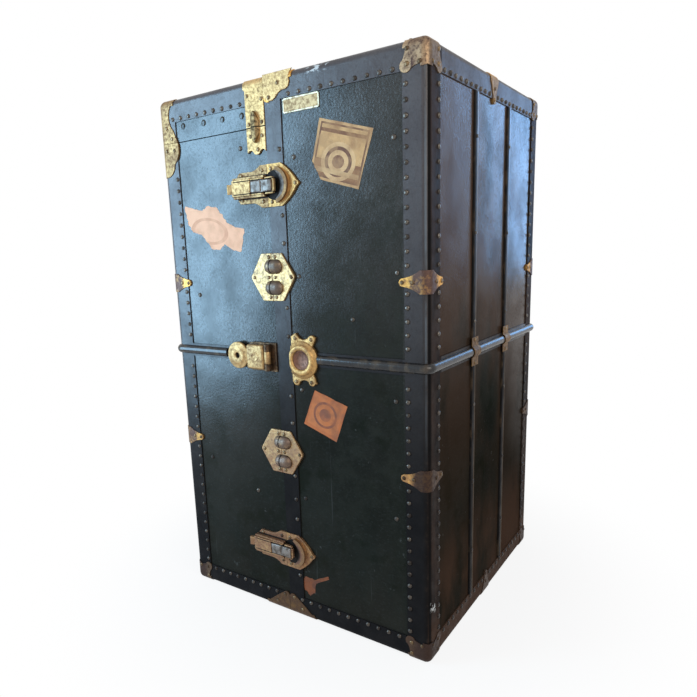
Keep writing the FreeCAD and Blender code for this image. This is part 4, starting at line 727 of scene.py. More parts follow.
def turned(profile, steps, unit=MM):
    """A closed round shape about Z, from (radius, height) points in units of unit metres."""
    bm = bmesh.new()
    verts = [bm.verts.new((radius * unit, 0, height * unit)) for radius, height in profile]
    edges = [bm.edges.new(pair) for pair in zip(verts, verts[1:])]
    bmesh.ops.spin(
        bm, geom=verts + edges, cent=(0, 0, 0), axis=(0, 0, 1), dvec=(0, 0, 0),
        angle=2 * math.pi, steps=steps, use_merge=True, use_duplicate=False,
    )
    bmesh.ops.remove_doubles(bm, verts=bm.verts, dist=1e-6)
    bmesh.ops.recalc_face_normals(bm, faces=bm.faces)
    return bm


def template(bm, name):
    mesh = bpy.data.meshes.new(name)
    bm.to_mesh(mesh)
    bm.free()
    return mesh


def stamp(bm, shape, place):
    copy = shape.copy()
    copy.transform(place)
    bm.from_mesh(copy)
    bpy.data.meshes.remove(copy)


def dome(name, diameter, rise, steps=9):
    """A nail head that sits on Z nought and dips a little under it."""
    radius = diameter / 2
    profile = [(0, -HEAD_DIP), (radius, -HEAD_DIP), (radius, rise * 0.12)]
    profile += [(radius * 0.80, rise * 0.66), (radius * 0.42, rise * 0.94), (0, rise)]
    return template(turned(profile, steps, 1.0), name)


def arc(centre, radius, start, end, steps):
    """Points on part of a circle, with angles in degrees."""
    points = []
    for step in range(steps + 1):
        angle = math.radians(start + (end - start) * step / steps)
        points.append((centre[0] + radius * math.cos(angle), centre[1] + radius * math.sin(angle)))
    return points


def round_off(bm, geom, offset, segments, affect="EDGES"):
    """Rounds edges, or the corners of a flat face."""
    bmesh.ops.bevel(
        bm, geom=geom, offset=offset, segments=segments, profile=0.5, affect=affect, material=-1
    )


def lift(bm, rise):
    """Pulls the faces out along Y and returns the verts and faces that moved."""
    grown = bmesh.ops.extrude_face_region(bm, geom=bm.faces[:])["geom"]
    verts = [item for item in grown if isinstance(item, bmesh.types.BMVert)]
    bmesh.ops.translate(bm, vec=(0, rise, 0), verts=verts)
    return verts, [item for item in grown if isinstance(item, bmesh.types.BMFace)]


def block(bm, low, high):
    """A sharp block between two corners in metres."""
    made = bmesh.ops.create_cube(bm, size=1.0)["verts"]
    bmesh.ops.scale(bm, vec=Vector(high) - Vector(low), verts=made)
    bmesh.ops.translate(bm, vec=(Vector(low) + Vector(high)) / 2, verts=made)


def plate(bm, outline, back, front, edge):
    """A plate on the front from (x, z) points, between two depths, with its front edge rounded."""
    part = bmesh.new()
    part.faces.new([part.verts.new((u * MM, back * MM, v * MM)) for u, v in outline])
    lifted = lift(part, (front - back) * MM)[0]
    rim = [e for e in part.edges if all(v in lifted for v in e.verts)]
    round_off(part, rim, edge * MM, 3)
    bmesh.ops.recalc_face_normals(part, faces=part.faces)
    join(bm, part)


def pillow(bm, low, high, edge, segments):
    """A block between two corners in millimetres, with every edge rounded."""
    part = bmesh.new()
    block(part, Vector(low) * MM, Vector(high) * MM)
    round_off(part, part.edges[:], edge * MM, segments)
    join(bm, part)


def join(bm, part):
    shape = template(part, "part")
    bm.from_mesh(shape)
    bpy.data.meshes.remove(shape)


def turned_front(profile, steps, place):
    """A turned shape in millimetres that points out of the front face."""
    bm = turned(profile, steps)
    bm.transform(Matrix.Translation(Vector(place) * MM) @ Matrix.Rotation(math.pi / 2, 4, "X"))
    return bm


FRONT_BACK = ("front", "back")
SIDES = ("right", "left")

# The way out of each face of the case, and the start of a ray to a place on it, in millimetres
FACES = {
    "front": (Vector((0, -1, 0)), lambda u, v: Vector((u, -400, v))),
    "back": (Vector((0, 1, 0)), lambda u, v: Vector((u, 400, v))),
    "right": (Vector((1, 0, 0)), lambda u, v: Vector((400, u, v))),
    "left": (Vector((-1, 0, 0)), lambda u, v: Vector((-400, u, v))),
    "top": (Vector((0, 0, 1)), lambda u, v: Vector((u, v, 1200))),
}


def seen(face, u, v):
    """The first piece met at a place on a face of the case, with the point there."""
    out, start = FACES[face]
    graph = bpy.context.evaluated_depsgraph_get()
    found = bpy.context.scene.ray_cast(graph, start(u, v) * MM, -out)
    if not found[0]:
        raise RuntimeError(f"nothing at {u}, {v} on the {face}")
    return found[1], found[4]


def seated(face, u, v, carriers, clear):
    """Where a round head of radius clear can sit on one of the carriers, or None."""
    point, piece = seen(face, u, v)
    for du, dv in ((clear, 0), (-clear, 0), (0, clear), (0, -clear)):
        beside, other = seen(face, u + du, v + dv)
        if other != piece or abs((beside - point).dot(FACES[face][0])) > SEAT_STEP:
            return None
    if not any(word in piece.name for word in carriers):
        return None
    return point, FACES[face][0], piece["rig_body"]


def nail_up(spots, shape, carriers, clear, label, material, seed, strict):
    """Sets a head on every spot, one piece for each body that carries some."""
    chance = random.Random(seed)
    groups = {}
    missed = []
    for face, u, v in spots:
        seat = seated(face, u, v, carriers, clear)
        turn = chance.uniform(0, math.pi)
        swell = chance.uniform(0.93, 1.06)
        if seat is None:
            missed.append((face, round(u, 1), round(v, 1)))
            continue
        point, out, body = seat
        place = Matrix.Translation(point) @ out.to_track_quat("Z", "Y").to_matrix().to_4x4()
        place = place @ Matrix.Rotation(turn, 4, "Z") @ Matrix.Diagonal((swell, swell, swell, 1))
        if body not in groups:
            groups[body] = bmesh.new()
        stamp(groups[body], shape, place)
    if strict and missed:
        raise RuntimeError(f"no seat for {label} at {missed}")
    for body in sorted(groups):
        new_piece(groups[body], f"{body}_{label}", body, material)
    bpy.data.meshes.remove(shape)


def row(start, end, pitch):
    count = max(1, round(abs(end - start) / pitch))
    return [start + (end - start) * step / count for step in range(count + 1)]


# Operators


class TRUNK_OT_case(bpy.types.Operator):
    """Paint the boards and finish the binding, the band and the slats"""

    bl_idname = "trunk.case"
    bl_label = "Case finishes"

    def execute(self, context):
        front = board_finish(
            "board_paint", brown=0.1, level=0.04,
            coat_low=0.26, coat_high=0.78, coat_near=1.0, coat_rough=0.24,
        )
        side = board_finish(
            "side_paint", brown=1.0, level=0.0,
            coat_low=0.36, coat_high=1.02, coat_near=0.68, coat_rough=0.22,
        )
        boards = [name for name in NODES if name.endswith("_panel")]
        paint_nodes(front, *[name for name in boards if "side" not in name])
        paint_nodes(side, *[name for name in boards if "side" in name])
        paint_nodes(binding_finish(), "right_binding", "left_binding", "lid_binding")
        paint_nodes(black_wood_finish(), "right_band", "left_band")
        return {"FINISHED"}


class TRUNK_OT_slats(bpy.types.Operator):
    """Rounded slats on the side faces, in place of the plain ones"""

    bl_idname = "trunk.slats"
    bl_label = "Slats"

    wide = 16.5
    spans = {
        "right": ("drawer_half", ((43.5, 517.0), (543.0, 972.5))),
        "left": ("hanger_half", ((43.5, 517.0), (543.0, 934.7))),
        "lid": ("lid", ((935.3, 972.5),)),
    }

    def execute(self, context):
        wood = bpy.data.materials["black_wood"]
        edge = context.scene.trunk_sizes.slat_round
        for prefix, (body, spans) in self.spans.items():
            low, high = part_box(f"{prefix}_slats")
            bm = bmesh.new()
            for middle in SLAT_Y:
                for start, end in spans:
                    near = (low.x, (middle - self.wide / 2) * MM, start * MM)
                    block(bm, near, (high.x, (middle + self.wide / 2) * MM, end * MM))
            outer = high.x if prefix == "right" else low.x
            rim = [e for e in bm.edges if all(abs(v.co.x - outer) < 1e-5 for v in e.verts)]
            round_off(bm, rim, edge, 3)
            piece = new_piece(bm, f"{prefix}_rounded_slats", body, wood, smooth=False)
            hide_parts(f"{prefix}_slats")
        return {"FINISHED"}


class TRUNK_OT_fittings(bpy.types.Operator):
    """Finish the brass and steel fittings"""

    bl_idname = "trunk.fittings"
    bl_label = "Fittings"

    # Each brass: clean tone, skin tone, roughness, share of skin, its thick places and its painted
    # shade and grime
    brasses = {
        "strap_brass": ("brass_pale", "brass_olive", 0.56, -0.2, strap_ridge, lid_split_shade),
        "gold_brass": ("brass", "brass_dull", 0.52, 0.0),
        "dowel_brass": ("brass_pale", "brass_grey", 0.46, 0.0, dowel_dome, seam_shade),
        "dark_brass": ("brass_dull", "brass_black", 0.5, 0.3),
        "bronze_brass": ("brass_gold", "brass_brown", 0.5, 0.0, clamp_body),
        "cap_brass": ("brass_cap", "brass_brown", 0.56, 0.05, clamp_body),
        "aged_brass": ("brass_pale", "brass_dull", 0.56, 0.46),
        "latch_brass": ("brass_pale", "brass_dull", 0.54, 0.5, None, lever_bed),
        "catch_brass": ("brass", "brass_dull", 0.54, 0.05, catch_ring, catch_recess),
        "lever_brass": ("brass_pale", "brass_dull", 0.56, 0.16, None, lever_gap),
    }
    fittings = {
        "strap_brass": ("lid_strap", "lid_dowel_plate"),
        "aged_brass": ("lid_corner_caps", "left_lid_plates"),
        "lever_brass": ("latch_lever_top", "latch_lever_bottom"),
        "latch_brass": ("latch_bases",),
        "catch_brass": ("latch_catches",),
        "dowel_brass": ("dowel_sockets", "dowel_pins"),
        "dark_brass": ("hasp_base",),
        "gold_brass": (
            "back_hinges_right", "back_hinges_left", "lid_hinges_lower", "lid_hinges_upper",
        ),
        "cap_brass": ("right_corner_caps", "left_corner_caps"),
        "bronze_brass": (
            "right_edge_clamps", "left_edge_clamps", "right_band_clamps", "left_band_clamps",
        ),
    }

    def execute(self, context):
        c = context.scene.trunk_colours
        for name, (clean, skin, *rest) in self.brasses.items():
            material = brass_finish(name, getattr(c, clean), getattr(c, skin), *rest)
            paint_nodes(material, *self.fittings[name])
        steel = steel_finish()
        paint_nodes(steel, "latch_link_top", "latch_link_bottom")
        paint_nodes(steel, "trolley_rails", "hanger_trolley", "hanger_hooks")
        return {"FINISHED"}


class TRUNK_OT_inside(bpy.types.Operator):
    """Finish the drawers, shelf, runners and hangers, and turn the drawer pulls"""

    bl_idname = "trunk.inside"
    bl_label = "Inside"

    pull_profile = (
        (0, 0), (5.6, 0), (5.6, 1.2), (4.1, 2.4), (3.8, 4.6), (5.4, 6.2), (8.4, 7.6),
        (9.0, 9.2), (8.5, 10.9), (6.6, 12.2), (3.4, 12.9), (0, 13.0),
    )

    def execute(self, context):
        c = context.scene.trunk_colours
        across = wood_finish("drawer_wood", c.wood, c.wood_dark, 0.34)
        paint_nodes(across, "hat_shelf", "drawer_runners", *[f"drawer_{n}" for n in range(1, 5)])
        paint_nodes(wood_finish("hanger_wood", HANGER_WOOD, c.wood, 0.4), "hangers")
        brass = brass_finish("pull_brass", c.brass, c.brass_dull, 0.4, 0.0)
        shape = template(turned(self.pull_profile, 24), "pull_shape")
        for number in range(1, 5):
            name = f"drawer_pulls_{number}"
            low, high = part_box(name)
            bm = bmesh.new()
            for middle in (-0.12, 0.12):
                centre = Vector((high.x, middle, (low.z + high.z) / 2))
                stamp(bm, shape, Matrix.Translation(centre) @ Matrix.Rotation(-math.pi / 2, 4, "Y"))
            piece = new_piece(bm, f"turned_pulls_{number}", f"drawer_{number}", brass)
            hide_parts(name)
        bpy.data.meshes.remove(shape)
        return {"FINISHED"}


class TRUNK_OT_nails(bpy.types.Operator):
    """Rows of nails on the binding, nails in the fittings, rivets in the boards"""

    bl_idname = "trunk.nails"
    bl_label = "Nails and rivets"

    strip = (893, 783, 735, 621, 569, 457, 405, 300, 252, 211, 92)
    latch = ((-80, 22), (-31, 27), (-80, -21), (-31, -26), (-11, 28), (-11, -28), (41, 0))
    dowel = ((-26, 36), (-12, 36), (-62, 0), (-28, 0), (-13, 0), (23, 0), (-26, -36), (-12, -36))
    keeper = ((25, 39), (60, 38), (24, -41), (58, -40))
    strap = ((-57, 988), (-25, 979), (-56, 941), (-26, 942), (-53, 921), (-27, 920), (-38, 898))
    lid_cap = ((-267, 964), (-254, 943), (-250, 921), (-271, 922))
    cap = ((35, 35), (14.5, 35), (35, 14.5))
    cap_thick = 1.5
    clamp = (45, 27)
    rivets = (
        (37, 877), (228, 884), (146, 604), (32, 471), (231, 681), (226, 471),
        (224, 262), (37, 677), (29, 258), (-214, 642), (-82, 905), (-214, 300), (-90, 250),
    )
    studs = ((-224, 963), (-169, 961), (-121, 960), (-74, 959))
    slat_levels = (900, 740, 585, 430, 278, 136)

    def edge_spots(self, sizes):
        pitch = sizes.nail_pitch / MM
        inset = sizes.nail_inset / MM
        end_x = OUT_X - inset
        end_y = OUT_Y - inset
        low = LOW_Z + inset
        high = HIGH_Z - inset
        levels = row(high - 23, low + 18, pitch)
        spots = []
        for face, end in (("front", end_x), ("back", end_x), ("right", end_y), ("left", end_y)):
            for edge in (-end, end):
                spots += [(face, edge, level) for level in levels]
            for level in (low, high):
                spots += [(face, u, level) for u in row(-end, end, pitch)]
        for edge in (-end_x, end_x):
            spots += [("top", edge, v) for v in row(-end_y + pitch, end_y - pitch, pitch)]
        for edge in (-end_y, end_y):
            spots += [("top", u, edge) for u in row(-end_x, end_x, pitch)]
        spots += [("front", 8, level) for level in self.strip]
        spots += [("back", u, level) for u in (6, -46) for level in self.strip]
        spots += [("top", 6, v) for v in row(-214, 214, 53)]
        return spots

    def fitting_spots(self):
        spots = [("front", u, level + v) for level in LATCH_Z for u, v in self.latch]
        spots += [("front", u, level + v) for level in DOWEL_Z for u, v in self.dowel]
        spots += [("front", u, LOCK_Z + v) for u, v in self.keeper]
        spots += [("front", u, v) for u, v in self.strap]
        for face in FRONT_BACK:
            spots += [(face, u, v) for u, v in self.lid_cap]
        for way in (-1, 1):
            spots += [("left", way * (-u - 13), v) for u, v in self.lid_cap]
        outer_x = OUT_X + self.cap_thick
        outer_y = OUT_Y + self.cap_thick
        outer_z = HIGH_Z + self.cap_thick
        for across, up in self.cap:
            end = outer_x - across
            for face in FRONT_BACK:
                spots += [(face, end, outer_z - up), (face, end, up), (face, -end, up)]
            for way in (-1, 1):
                side = way * (outer_y - across)
                spots += [("right", side, outer_z - up), ("right", side, up), ("left", side, up)]
                spots.append(("top", end, way * (outer_y - up)))
        for level in CLAMP_Z:
            for reach in self.clamp:
                for way in (-1, 1):
                    spots += [(face, way * (OUT_X - reach), level) for face in FRONT_BACK]
                    spots += [(face, way * (OUT_Y - reach), level) for face in SIDES]
        for reach in self.clamp:
            spots += [("right", 0, outer_z - reach), ("right", 0, reach), ("left", 0, reach)]
            spots += [("top", outer_x - reach, 0)]
        for face in FRONT_BACK:
            spots += [(face, -8, 978), (face, 12, 998), (face, -8, 38), (face, 12, 18)]
            spots += [(face, -32, 38), (face, -52, 18)]
        for middle in SLAT_Y:
            for up in (-21, 21):
                spots += [(face, middle, BAND_Z + up) for face in SIDES]
        return spots

    def execute(self, context):
        c = context.scene.trunk_colours
        s = context.scene.trunk_sizes
        bright = nail_finish("nail_metal", c.nail, NAIL_SKIN)
        dark = nail_finish("fitting_nail_metal", PIN_METAL, PIN_SKIN)
        painted = bpy.data.materials["board_paint"]
        edge = dome("edge_nail", s.nail_diameter, s.nail_rise)
        edges = self.edge_spots(s)
        nail_up(edges, edge, ("_binding",), 5.0, "edge_nails", bright, 11, False)
        pin = dome("fitting_nail", s.pin_diameter, s.pin_rise, 8)
        brass = (
            "latch_", "dowel_", "lock_keeper", "strap", "lid_dowel_plate", "_caps", "_clamps", "_plates"
        )
        nail_up(self.fitting_spots(), pin, brass, 2.6, "fitting_nails", dark, 12, True)
        rivet = dome("rivet", s.rivet_diameter, s.rivet_rise, 10)
        boards = [(face, u, v) for face in FRONT_BACK for u, v in self.rivets]
        nail_up(boards, rivet, ("_panel",), 5.0, "rivets", bright, 13, True)
        stud = dome("stud", s.stud_diameter, s.stud_rise, 12)
        studs = [("front", u, v) for u, v in self.studs]
        nail_up(studs, stud, ("_panel",), 6.0, "studs", painted, 14, True)
        slat = dome("slat_nail", s.pin_diameter, s.pin_rise, 8)
        slats = [(f, u, v) for f in SIDES for u in SLAT_Y for v in self.slat_levels]
        nail_up(slats, slat, ("rounded_slats",), 3.0, "slat_nails", bright, 15, True)
        return {"FINISHED"}


class TRUNK_OT_name_plate(bpy.types.Operator):
    """A small bare plate with a raised rim, near the top of the drawer half"""

    bl_idname = "trunk.name_plate"
    bl_label = "Name plate"

    corners = ((20, 948), (94, 948), (94, 971.5), (20, 971.5))
    middle = (57, 960)
    corner_round = 0.003
    rim_wide = 0.0022
    rim_slope = 0.0008
    rim_rise = 0.0007

    def execute(self, context):
        thick = context.scene.trunk_sizes.plate_thick
        board = seen("front", *self.middle)[0].y
        bm = bmesh.new()
        face = bm.faces.new([bm.verts.new((u * MM, board, v * MM)) for u, v in self.corners])
        round_off(bm, face.verts[:], self.corner_round, 4, "VERTICES")
        cap = lift(bm, -thick)[1]
        bmesh.ops.inset_region(bm, faces=cap, thickness=self.rim_wide, depth=0.0)
        bmesh.ops.inset_region(bm, faces=cap, thickness=self.rim_slope, depth=-self.rim_rise)
        bmesh.ops.recalc_face_normals(bm, faces=bm.faces)
        f = Finish("name_plate_brass", PLATE_FIELD)
        depth = f.between(f.y, board - thick + 0.0005, board - thick + 0.0003)
        grime = f.noise(0.006, detail=5.0)
        f.lay(f.between(grime, 0.4, 0.65), PLATE_FIELD_SKIN)
        f.lay(depth, f.blend(f.between(grime, 0.45, 0.7), PLATE_RIM, PLATE_RIM_SKIN))
        f.bump(grime, 0.00015)
        metal = f.done(f.between(grime, 0.3, 0.7, 0.45, 0.6), metallic=0.7)
        new_piece(bm, "name_plate", "drawer_half", metal, smooth=False)
        return {"FINISHED"}


class TRUNK_OT_labels(bpy.types.Operator):
    """Old paper labels, torn and faded, with plain printed shapes"""

    bl_idname = "trunk.labels"
    bl_label = "Paper labels"

    corners = {
        "label_top": ((75, 866), (91, 835), (164, 813), (194, 902), (93, 932)),
        "label_torn": (
            (-239, 817), (-218, 811), (-194, 805), (-175, 813), (-152, 809), (-137, 794),
            (-125, 778), (-106, 769), (-83, 765), (-94, 722), (-116, 727), (-135, 737),
            (-150, 728), (-170, 729), (-199, 759), (-220, 765), (-232, 781),
        ),
        "label_middle": ((33, 407), (105, 381), (131, 451), (61, 474)),
        "label_scrap": (
            (12, 78), (16, 62), (30, 52), (42, 62), (46, 84), (77, 102), (76, 108), (44, 93), (18, 92),
        ),
    }
    bodies = {"label_torn": "hanger_half"}
    tilts = {"label_top": -16.5, "label_torn": -10.0, "label_middle": -19.5, "label_scrap": 30.0}
    ragged = {"label_top": 1.0, "label_torn": 3.2, "label_middle": 1.2, "label_scrap": 3.0}
    # For each label the paper, the printed shapes in parts of its size, and the stain
    prints = {
        "label_top": (
            (0.60, 0.34, 0.15),
            (
                ("bar", (0.05, 0.05, 0.95, 0.95), (0.15, 0.065, 0.035)),
                ("bar", (0.08, 0.08, 0.92, 0.92), (0.64, 0.36, 0.15)),
                ("bar", (0.08, 0.08, 0.92, 0.36), (0.22, 0.09, 0.04)),
                ("ring", (0.5, 0.36, 0.32, 0.0), (0.70, 0.42, 0.20)),
                ("ring", (0.5, 0.36, 0.25, 0.19), (0.14, 0.06, 0.035)),
                ("ring", (0.5, 0.36, 0.11, 0.0), (0.18, 0.075, 0.04)),
                ("bar", (0.08, 0.14, 0.92, 0.22), (0.60, 0.36, 0.17)),
                ("bar", (0.08, 0.80, 0.92, 0.86), (0.20, 0.085, 0.04)),
            ),
            (0.30, 0.14, 0.06),
        ),
        "label_torn": (
            (0.90, 0.48, 0.29),
            (("ring", (0.45, 0.42, 0.30, 0.24), (0.70, 0.33, 0.19)),),
            (0.68, 0.33, 0.19),
        ),
        "label_middle": (
            (0.46, 0.12, 0.03),
            (
                ("bar", (0.08, 0.10, 0.92, 0.90), (0.50, 0.145, 0.04)),
                ("ring", (0.5, 0.5, 0.33, 0.27), (0.20, 0.06, 0.03)),
                ("ring", (0.5, 0.5, 0.16, 0.0), (0.22, 0.07, 0.035)),
            ),
            (0.17, 0.06, 0.03),
        ),
        "label_scrap": (
            (0.19, 0.05, 0.015),
            (("ring", (0.5, 0.4, 0.2, 0.0), (0.12, 0.035, 0.016)),),
            (0.06, 0.022, 0.012),
        ),
    }

    def paper(self, name, points, seed):
        """A sheet with an uneven outline that lies on the board, a little lifted at its edge."""
        chance = random.Random(seed)
        thick = bpy.context.scene.trunk_sizes.paper_thick
        middle = sum((Vector(p) for p in points), Vector((0, 0))) / len(points)
        board = seen("front", middle.x, middle.y)[0].y
        bm = bmesh.new()
        outline = [bm.verts.new((u * MM, 0, v * MM)) for u, v in points]
        bm.faces.new(outline)
        bmesh.ops.subdivide_edges(bm, edges=bm.edges[:], cuts=5)
        bmesh.ops.triangulate(bm, faces=bm.faces[:], quad_method="BEAUTY", ngon_method="BEAUTY")
        bmesh.ops.subdivide_edges(bm, edges=[e for e in bm.edges if not e.is_boundary], cuts=3)
        bmesh.ops.triangulate(bm, faces=bm.faces[:], quad_method="BEAUTY", ngon_method="BEAUTY")
        for vert in bm.verts:
            if vert.is_boundary:
                inward = Vector((middle.x * MM, 0, middle.y * MM)) - vert.co
                vert.co += inward.normalized() * chance.uniform(0, self.ragged[name]) * MM
                vert.co.y -= chance.uniform(0.0, 0.0004)
        loops = bm.loops.layers.uv.new("print")
        turn = Matrix.Rotation(math.radians(-self.tilts[name]), 2)
        level = [turn @ Vector(p) for p in points]
        left, right = min(p.x for p in level), max(p.x for p in level)
        low, high = min(p.y for p in level), max(p.y for p in level)
        for face in bm.faces:
            for corner in face.loops:
                flat = turn @ (Vector((corner.vert.co.x, corner.vert.co.z)) / MM)
                corner[loops].uv = ((flat.x - left) / (right - left), (flat.y - low) / (high - low))
        bmesh.ops.translate(bm, vec=(0, board - 0.0001, 0), verts=bm.verts)
        for face in bm.faces:
            if face.normal.y > 0:
                face.normal_flip()
        bmesh.ops.solidify(bm, geom=bm.faces[:], thickness=thick)
        return bm

    def print_on(self, name, ground, shapes, stain):
        """Paper with a few flat printed shapes, worn through in places."""
        f = Finish(name, ground)
        u, v = f.split(f.add("ShaderNodeUVMap", uv_map="print").outputs["UV"])[:2]
        for kind, spec, tone in shapes:
            if kind == "bar":
                left, low, right, high = spec
                mask = f.times(
                    f.over(u, left), f.under(u, right),
                    f.over(v, low), f.under(v, high),
                )
            else:
                across, up, radius, inner = spec
                reach = f.reach(u, v, across, up)
                mask = f.times(f.under(reach, radius), f.over(reach, inner))
            worn = f.patches(0.022, 0.36, 0.60, 0.5, 1.0, detail=3.0)
            f.lay(f.times(mask, worn), tone)
        old = f.patches(0.03, 0.40, 0.72, 0.0, 0.75, detail=5.0, shift=(1, 2, 3))
        f.lay(old, stain)
        fibre = f.noise(0.0012, detail=3.0)
        f.bump(f.noise(0.008, detail=3.0), 0.0004)
        f.bump(fibre, 0.00006)
        return f.done(f.between(fibre, 0.3, 0.7, 0.55, 0.8), level=0.3)

    def execute(self, context):
        for seed, (name, points) in enumerate(self.corners.items(), start=21):
            material = self.print_on(f"{name}_paper", *self.prints[name])
            bm = self.paper(name, points, seed)
            body = self.bodies.get(name, "drawer_half")
            new_piece(bm, name, body, material, smooth=False)
        return {"FINISHED"}


class TRUNK_OT_lock(bpy.types.Operator):
    """The hasp with its pillow body and round head, and the keeper with its ears, ring and cup"""

    bl_idname = "trunk.lock"
    bl_label = "Lock"

    head = (
        (0, 0), (25.0, 0), (26, 0.9), (26, 4.0), (25.4, 5.0), (24.2, 5.5), (17.0, 5.7), (16.2, 6.6),
        (15.2, 7.0), (6.4, 7.0), (5.4, 6.4), (5.0, 2.0), (0, 2.0),
    )
    ring = (
        (17.8, 0.5), (34.5, 0.5), (34.5, 5.2), (33.6, 6.6), (29.0, 7.4), (28.2, 9.2), (26.6, 11.0),
        (24.8, 11.8), (21.0, 11.6), (18.6, 10.4), (17.8, 8.6), (17.8, 0.5),
    )
    cup = ((0, 0), (17.6, 0), (17.6, 8.0), (16.8, 8.0), (15.2, 5.4), (9.0, 3.6), (0, 3.0))
    eye = ((0, -0.4), (9.0, -0.4), (9.0, 0.3), (7.8, 0.55), (6.8, 0.1), (2.2, 0.1), (0, 0.3))
    knuckle = ((0, -11.7), (5.6, -11.7), (6.2, -11.1), (6.2, 11.1), (5.6, 11.7), (0, 11.7))
    ears = ((-13.5, 38.5), (22.5, 38.0), (-14.5, -40.5), (20.5, -39.5))
    # Each block of the hasp: its left, right and front, half its height, rounding and segments
    blocks = (
        (-86.0, -43.8, -287.0, 23.5, 4.6, 5), (-98.0, -80.0, -281.6, 14.5, 1.8, 3),
        (-48.0, -37.0, -281.0, 11.5, 0.8, 2),
    )
    keeper_x = 38.5
    hasp_x = -36.7
    hasp_y = -282.0
    hasp_back = -276.7
    hasp_front = -287.0
    keeper_left = 15.3

    def hasp(self, brass):
        bm = turned_front(self.head, 40, (HASP_HEAD_X, self.hasp_back, LOCK_Z))
        join(bm, turned(self.knuckle, 24))
        pin = [v for v in bm.verts if abs(v.co.y) < 0.01]
        bmesh.ops.translate(bm, vec=Vector((self.hasp_x, self.hasp_y, LOCK_Z)) * MM, verts=pin)
        for left, right, front, half, edge, segments in self.blocks:
            low = (left, front, LOCK_Z - half)
            pillow(bm, low, (right, self.hasp_back, LOCK_Z + half), edge, segments)
        piece = new_piece(bm, "hasp_leaf", "hasp", brass)
        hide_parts("hasp")
        bm = turned_front(self.eye, 28, (-65.0, self.hasp_front, LOCK_Z + 1.0))
        new_piece(bm, "hasp_eye", "hasp", brass)

    def keeper(self, brass, bronze):
        bm = turned_front(self.ring, 48, (self.keeper_x, BOARD_Y, LOCK_Z))
        bmesh.ops.bisect_plane(
            bm, geom=bm.verts[:] + bm.edges[:] + bm.faces[:], dist=1e-6,
            plane_co=(self.keeper_left * MM, 0, 0), plane_no=(-1, 0, 0), clear_outer=True,
        )
        bmesh.ops.holes_fill(bm, edges=[e for e in bm.edges if e.is_boundary])
        bmesh.ops.recalc_face_normals(bm, faces=bm.faces)
        for way in (-1, 1):
            near = LOCK_Z + way * 14.0
            dip = arc((self.keeper_x + 4.0, LOCK_Z + way * 54.0), 17.0, 0, -180 * way, 10)
            side = arc((self.keeper_x + 40.5, LOCK_Z + way * 33.0), 13.0, 90 * way, 180 * way, 6)
            far = LOCK_Z + way * 42.0
            outline = [(self.keeper_left, near), (self.keeper_left, far)] + dip[:0:-1][1:-1]
            outline += [(self.keeper_x + 25.0, far)] + side[3:]
            outline += [(self.keeper_x + 18.5, near)]
            plate(bm, outline, BOARD_Y, -275.5, 0.8)
        for across, up in self.ears:
            spot = (self.keeper_x + across, LOCK_Z + up)
            plate(bm, arc(spot, 7.4, 0, 345, 23), BOARD_Y, -275.9, 1.2)
        piece = new_piece(bm, "lock_keeper_plate", "drawer_half", brass)
        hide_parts("lock_keeper")
        bm = turned_front(self.cup, 32, (self.keeper_x, BOARD_Y, LOCK_Z))
        new_piece(bm, "keeper_cup", "drawer_half", bronze)

    def execute(self, context):
        c = context.scene.trunk_colours
        hasp = brass_finish("hasp_brass", c.brass_pale, c.brass_dull, 0.5, 0.1, hasp_body, key_hole)
        keeper = brass_finish("keeper_brass", c.brass, c.brass_dull, 0.5, 0.2)
        bronze = brass_finish("cup_bronze", CUP_BRONZE, c.brass_brown, 0.55, 0.1)
        self.hasp(hasp)
        self.keeper(keeper, bronze)
        return {"FINISHED"}


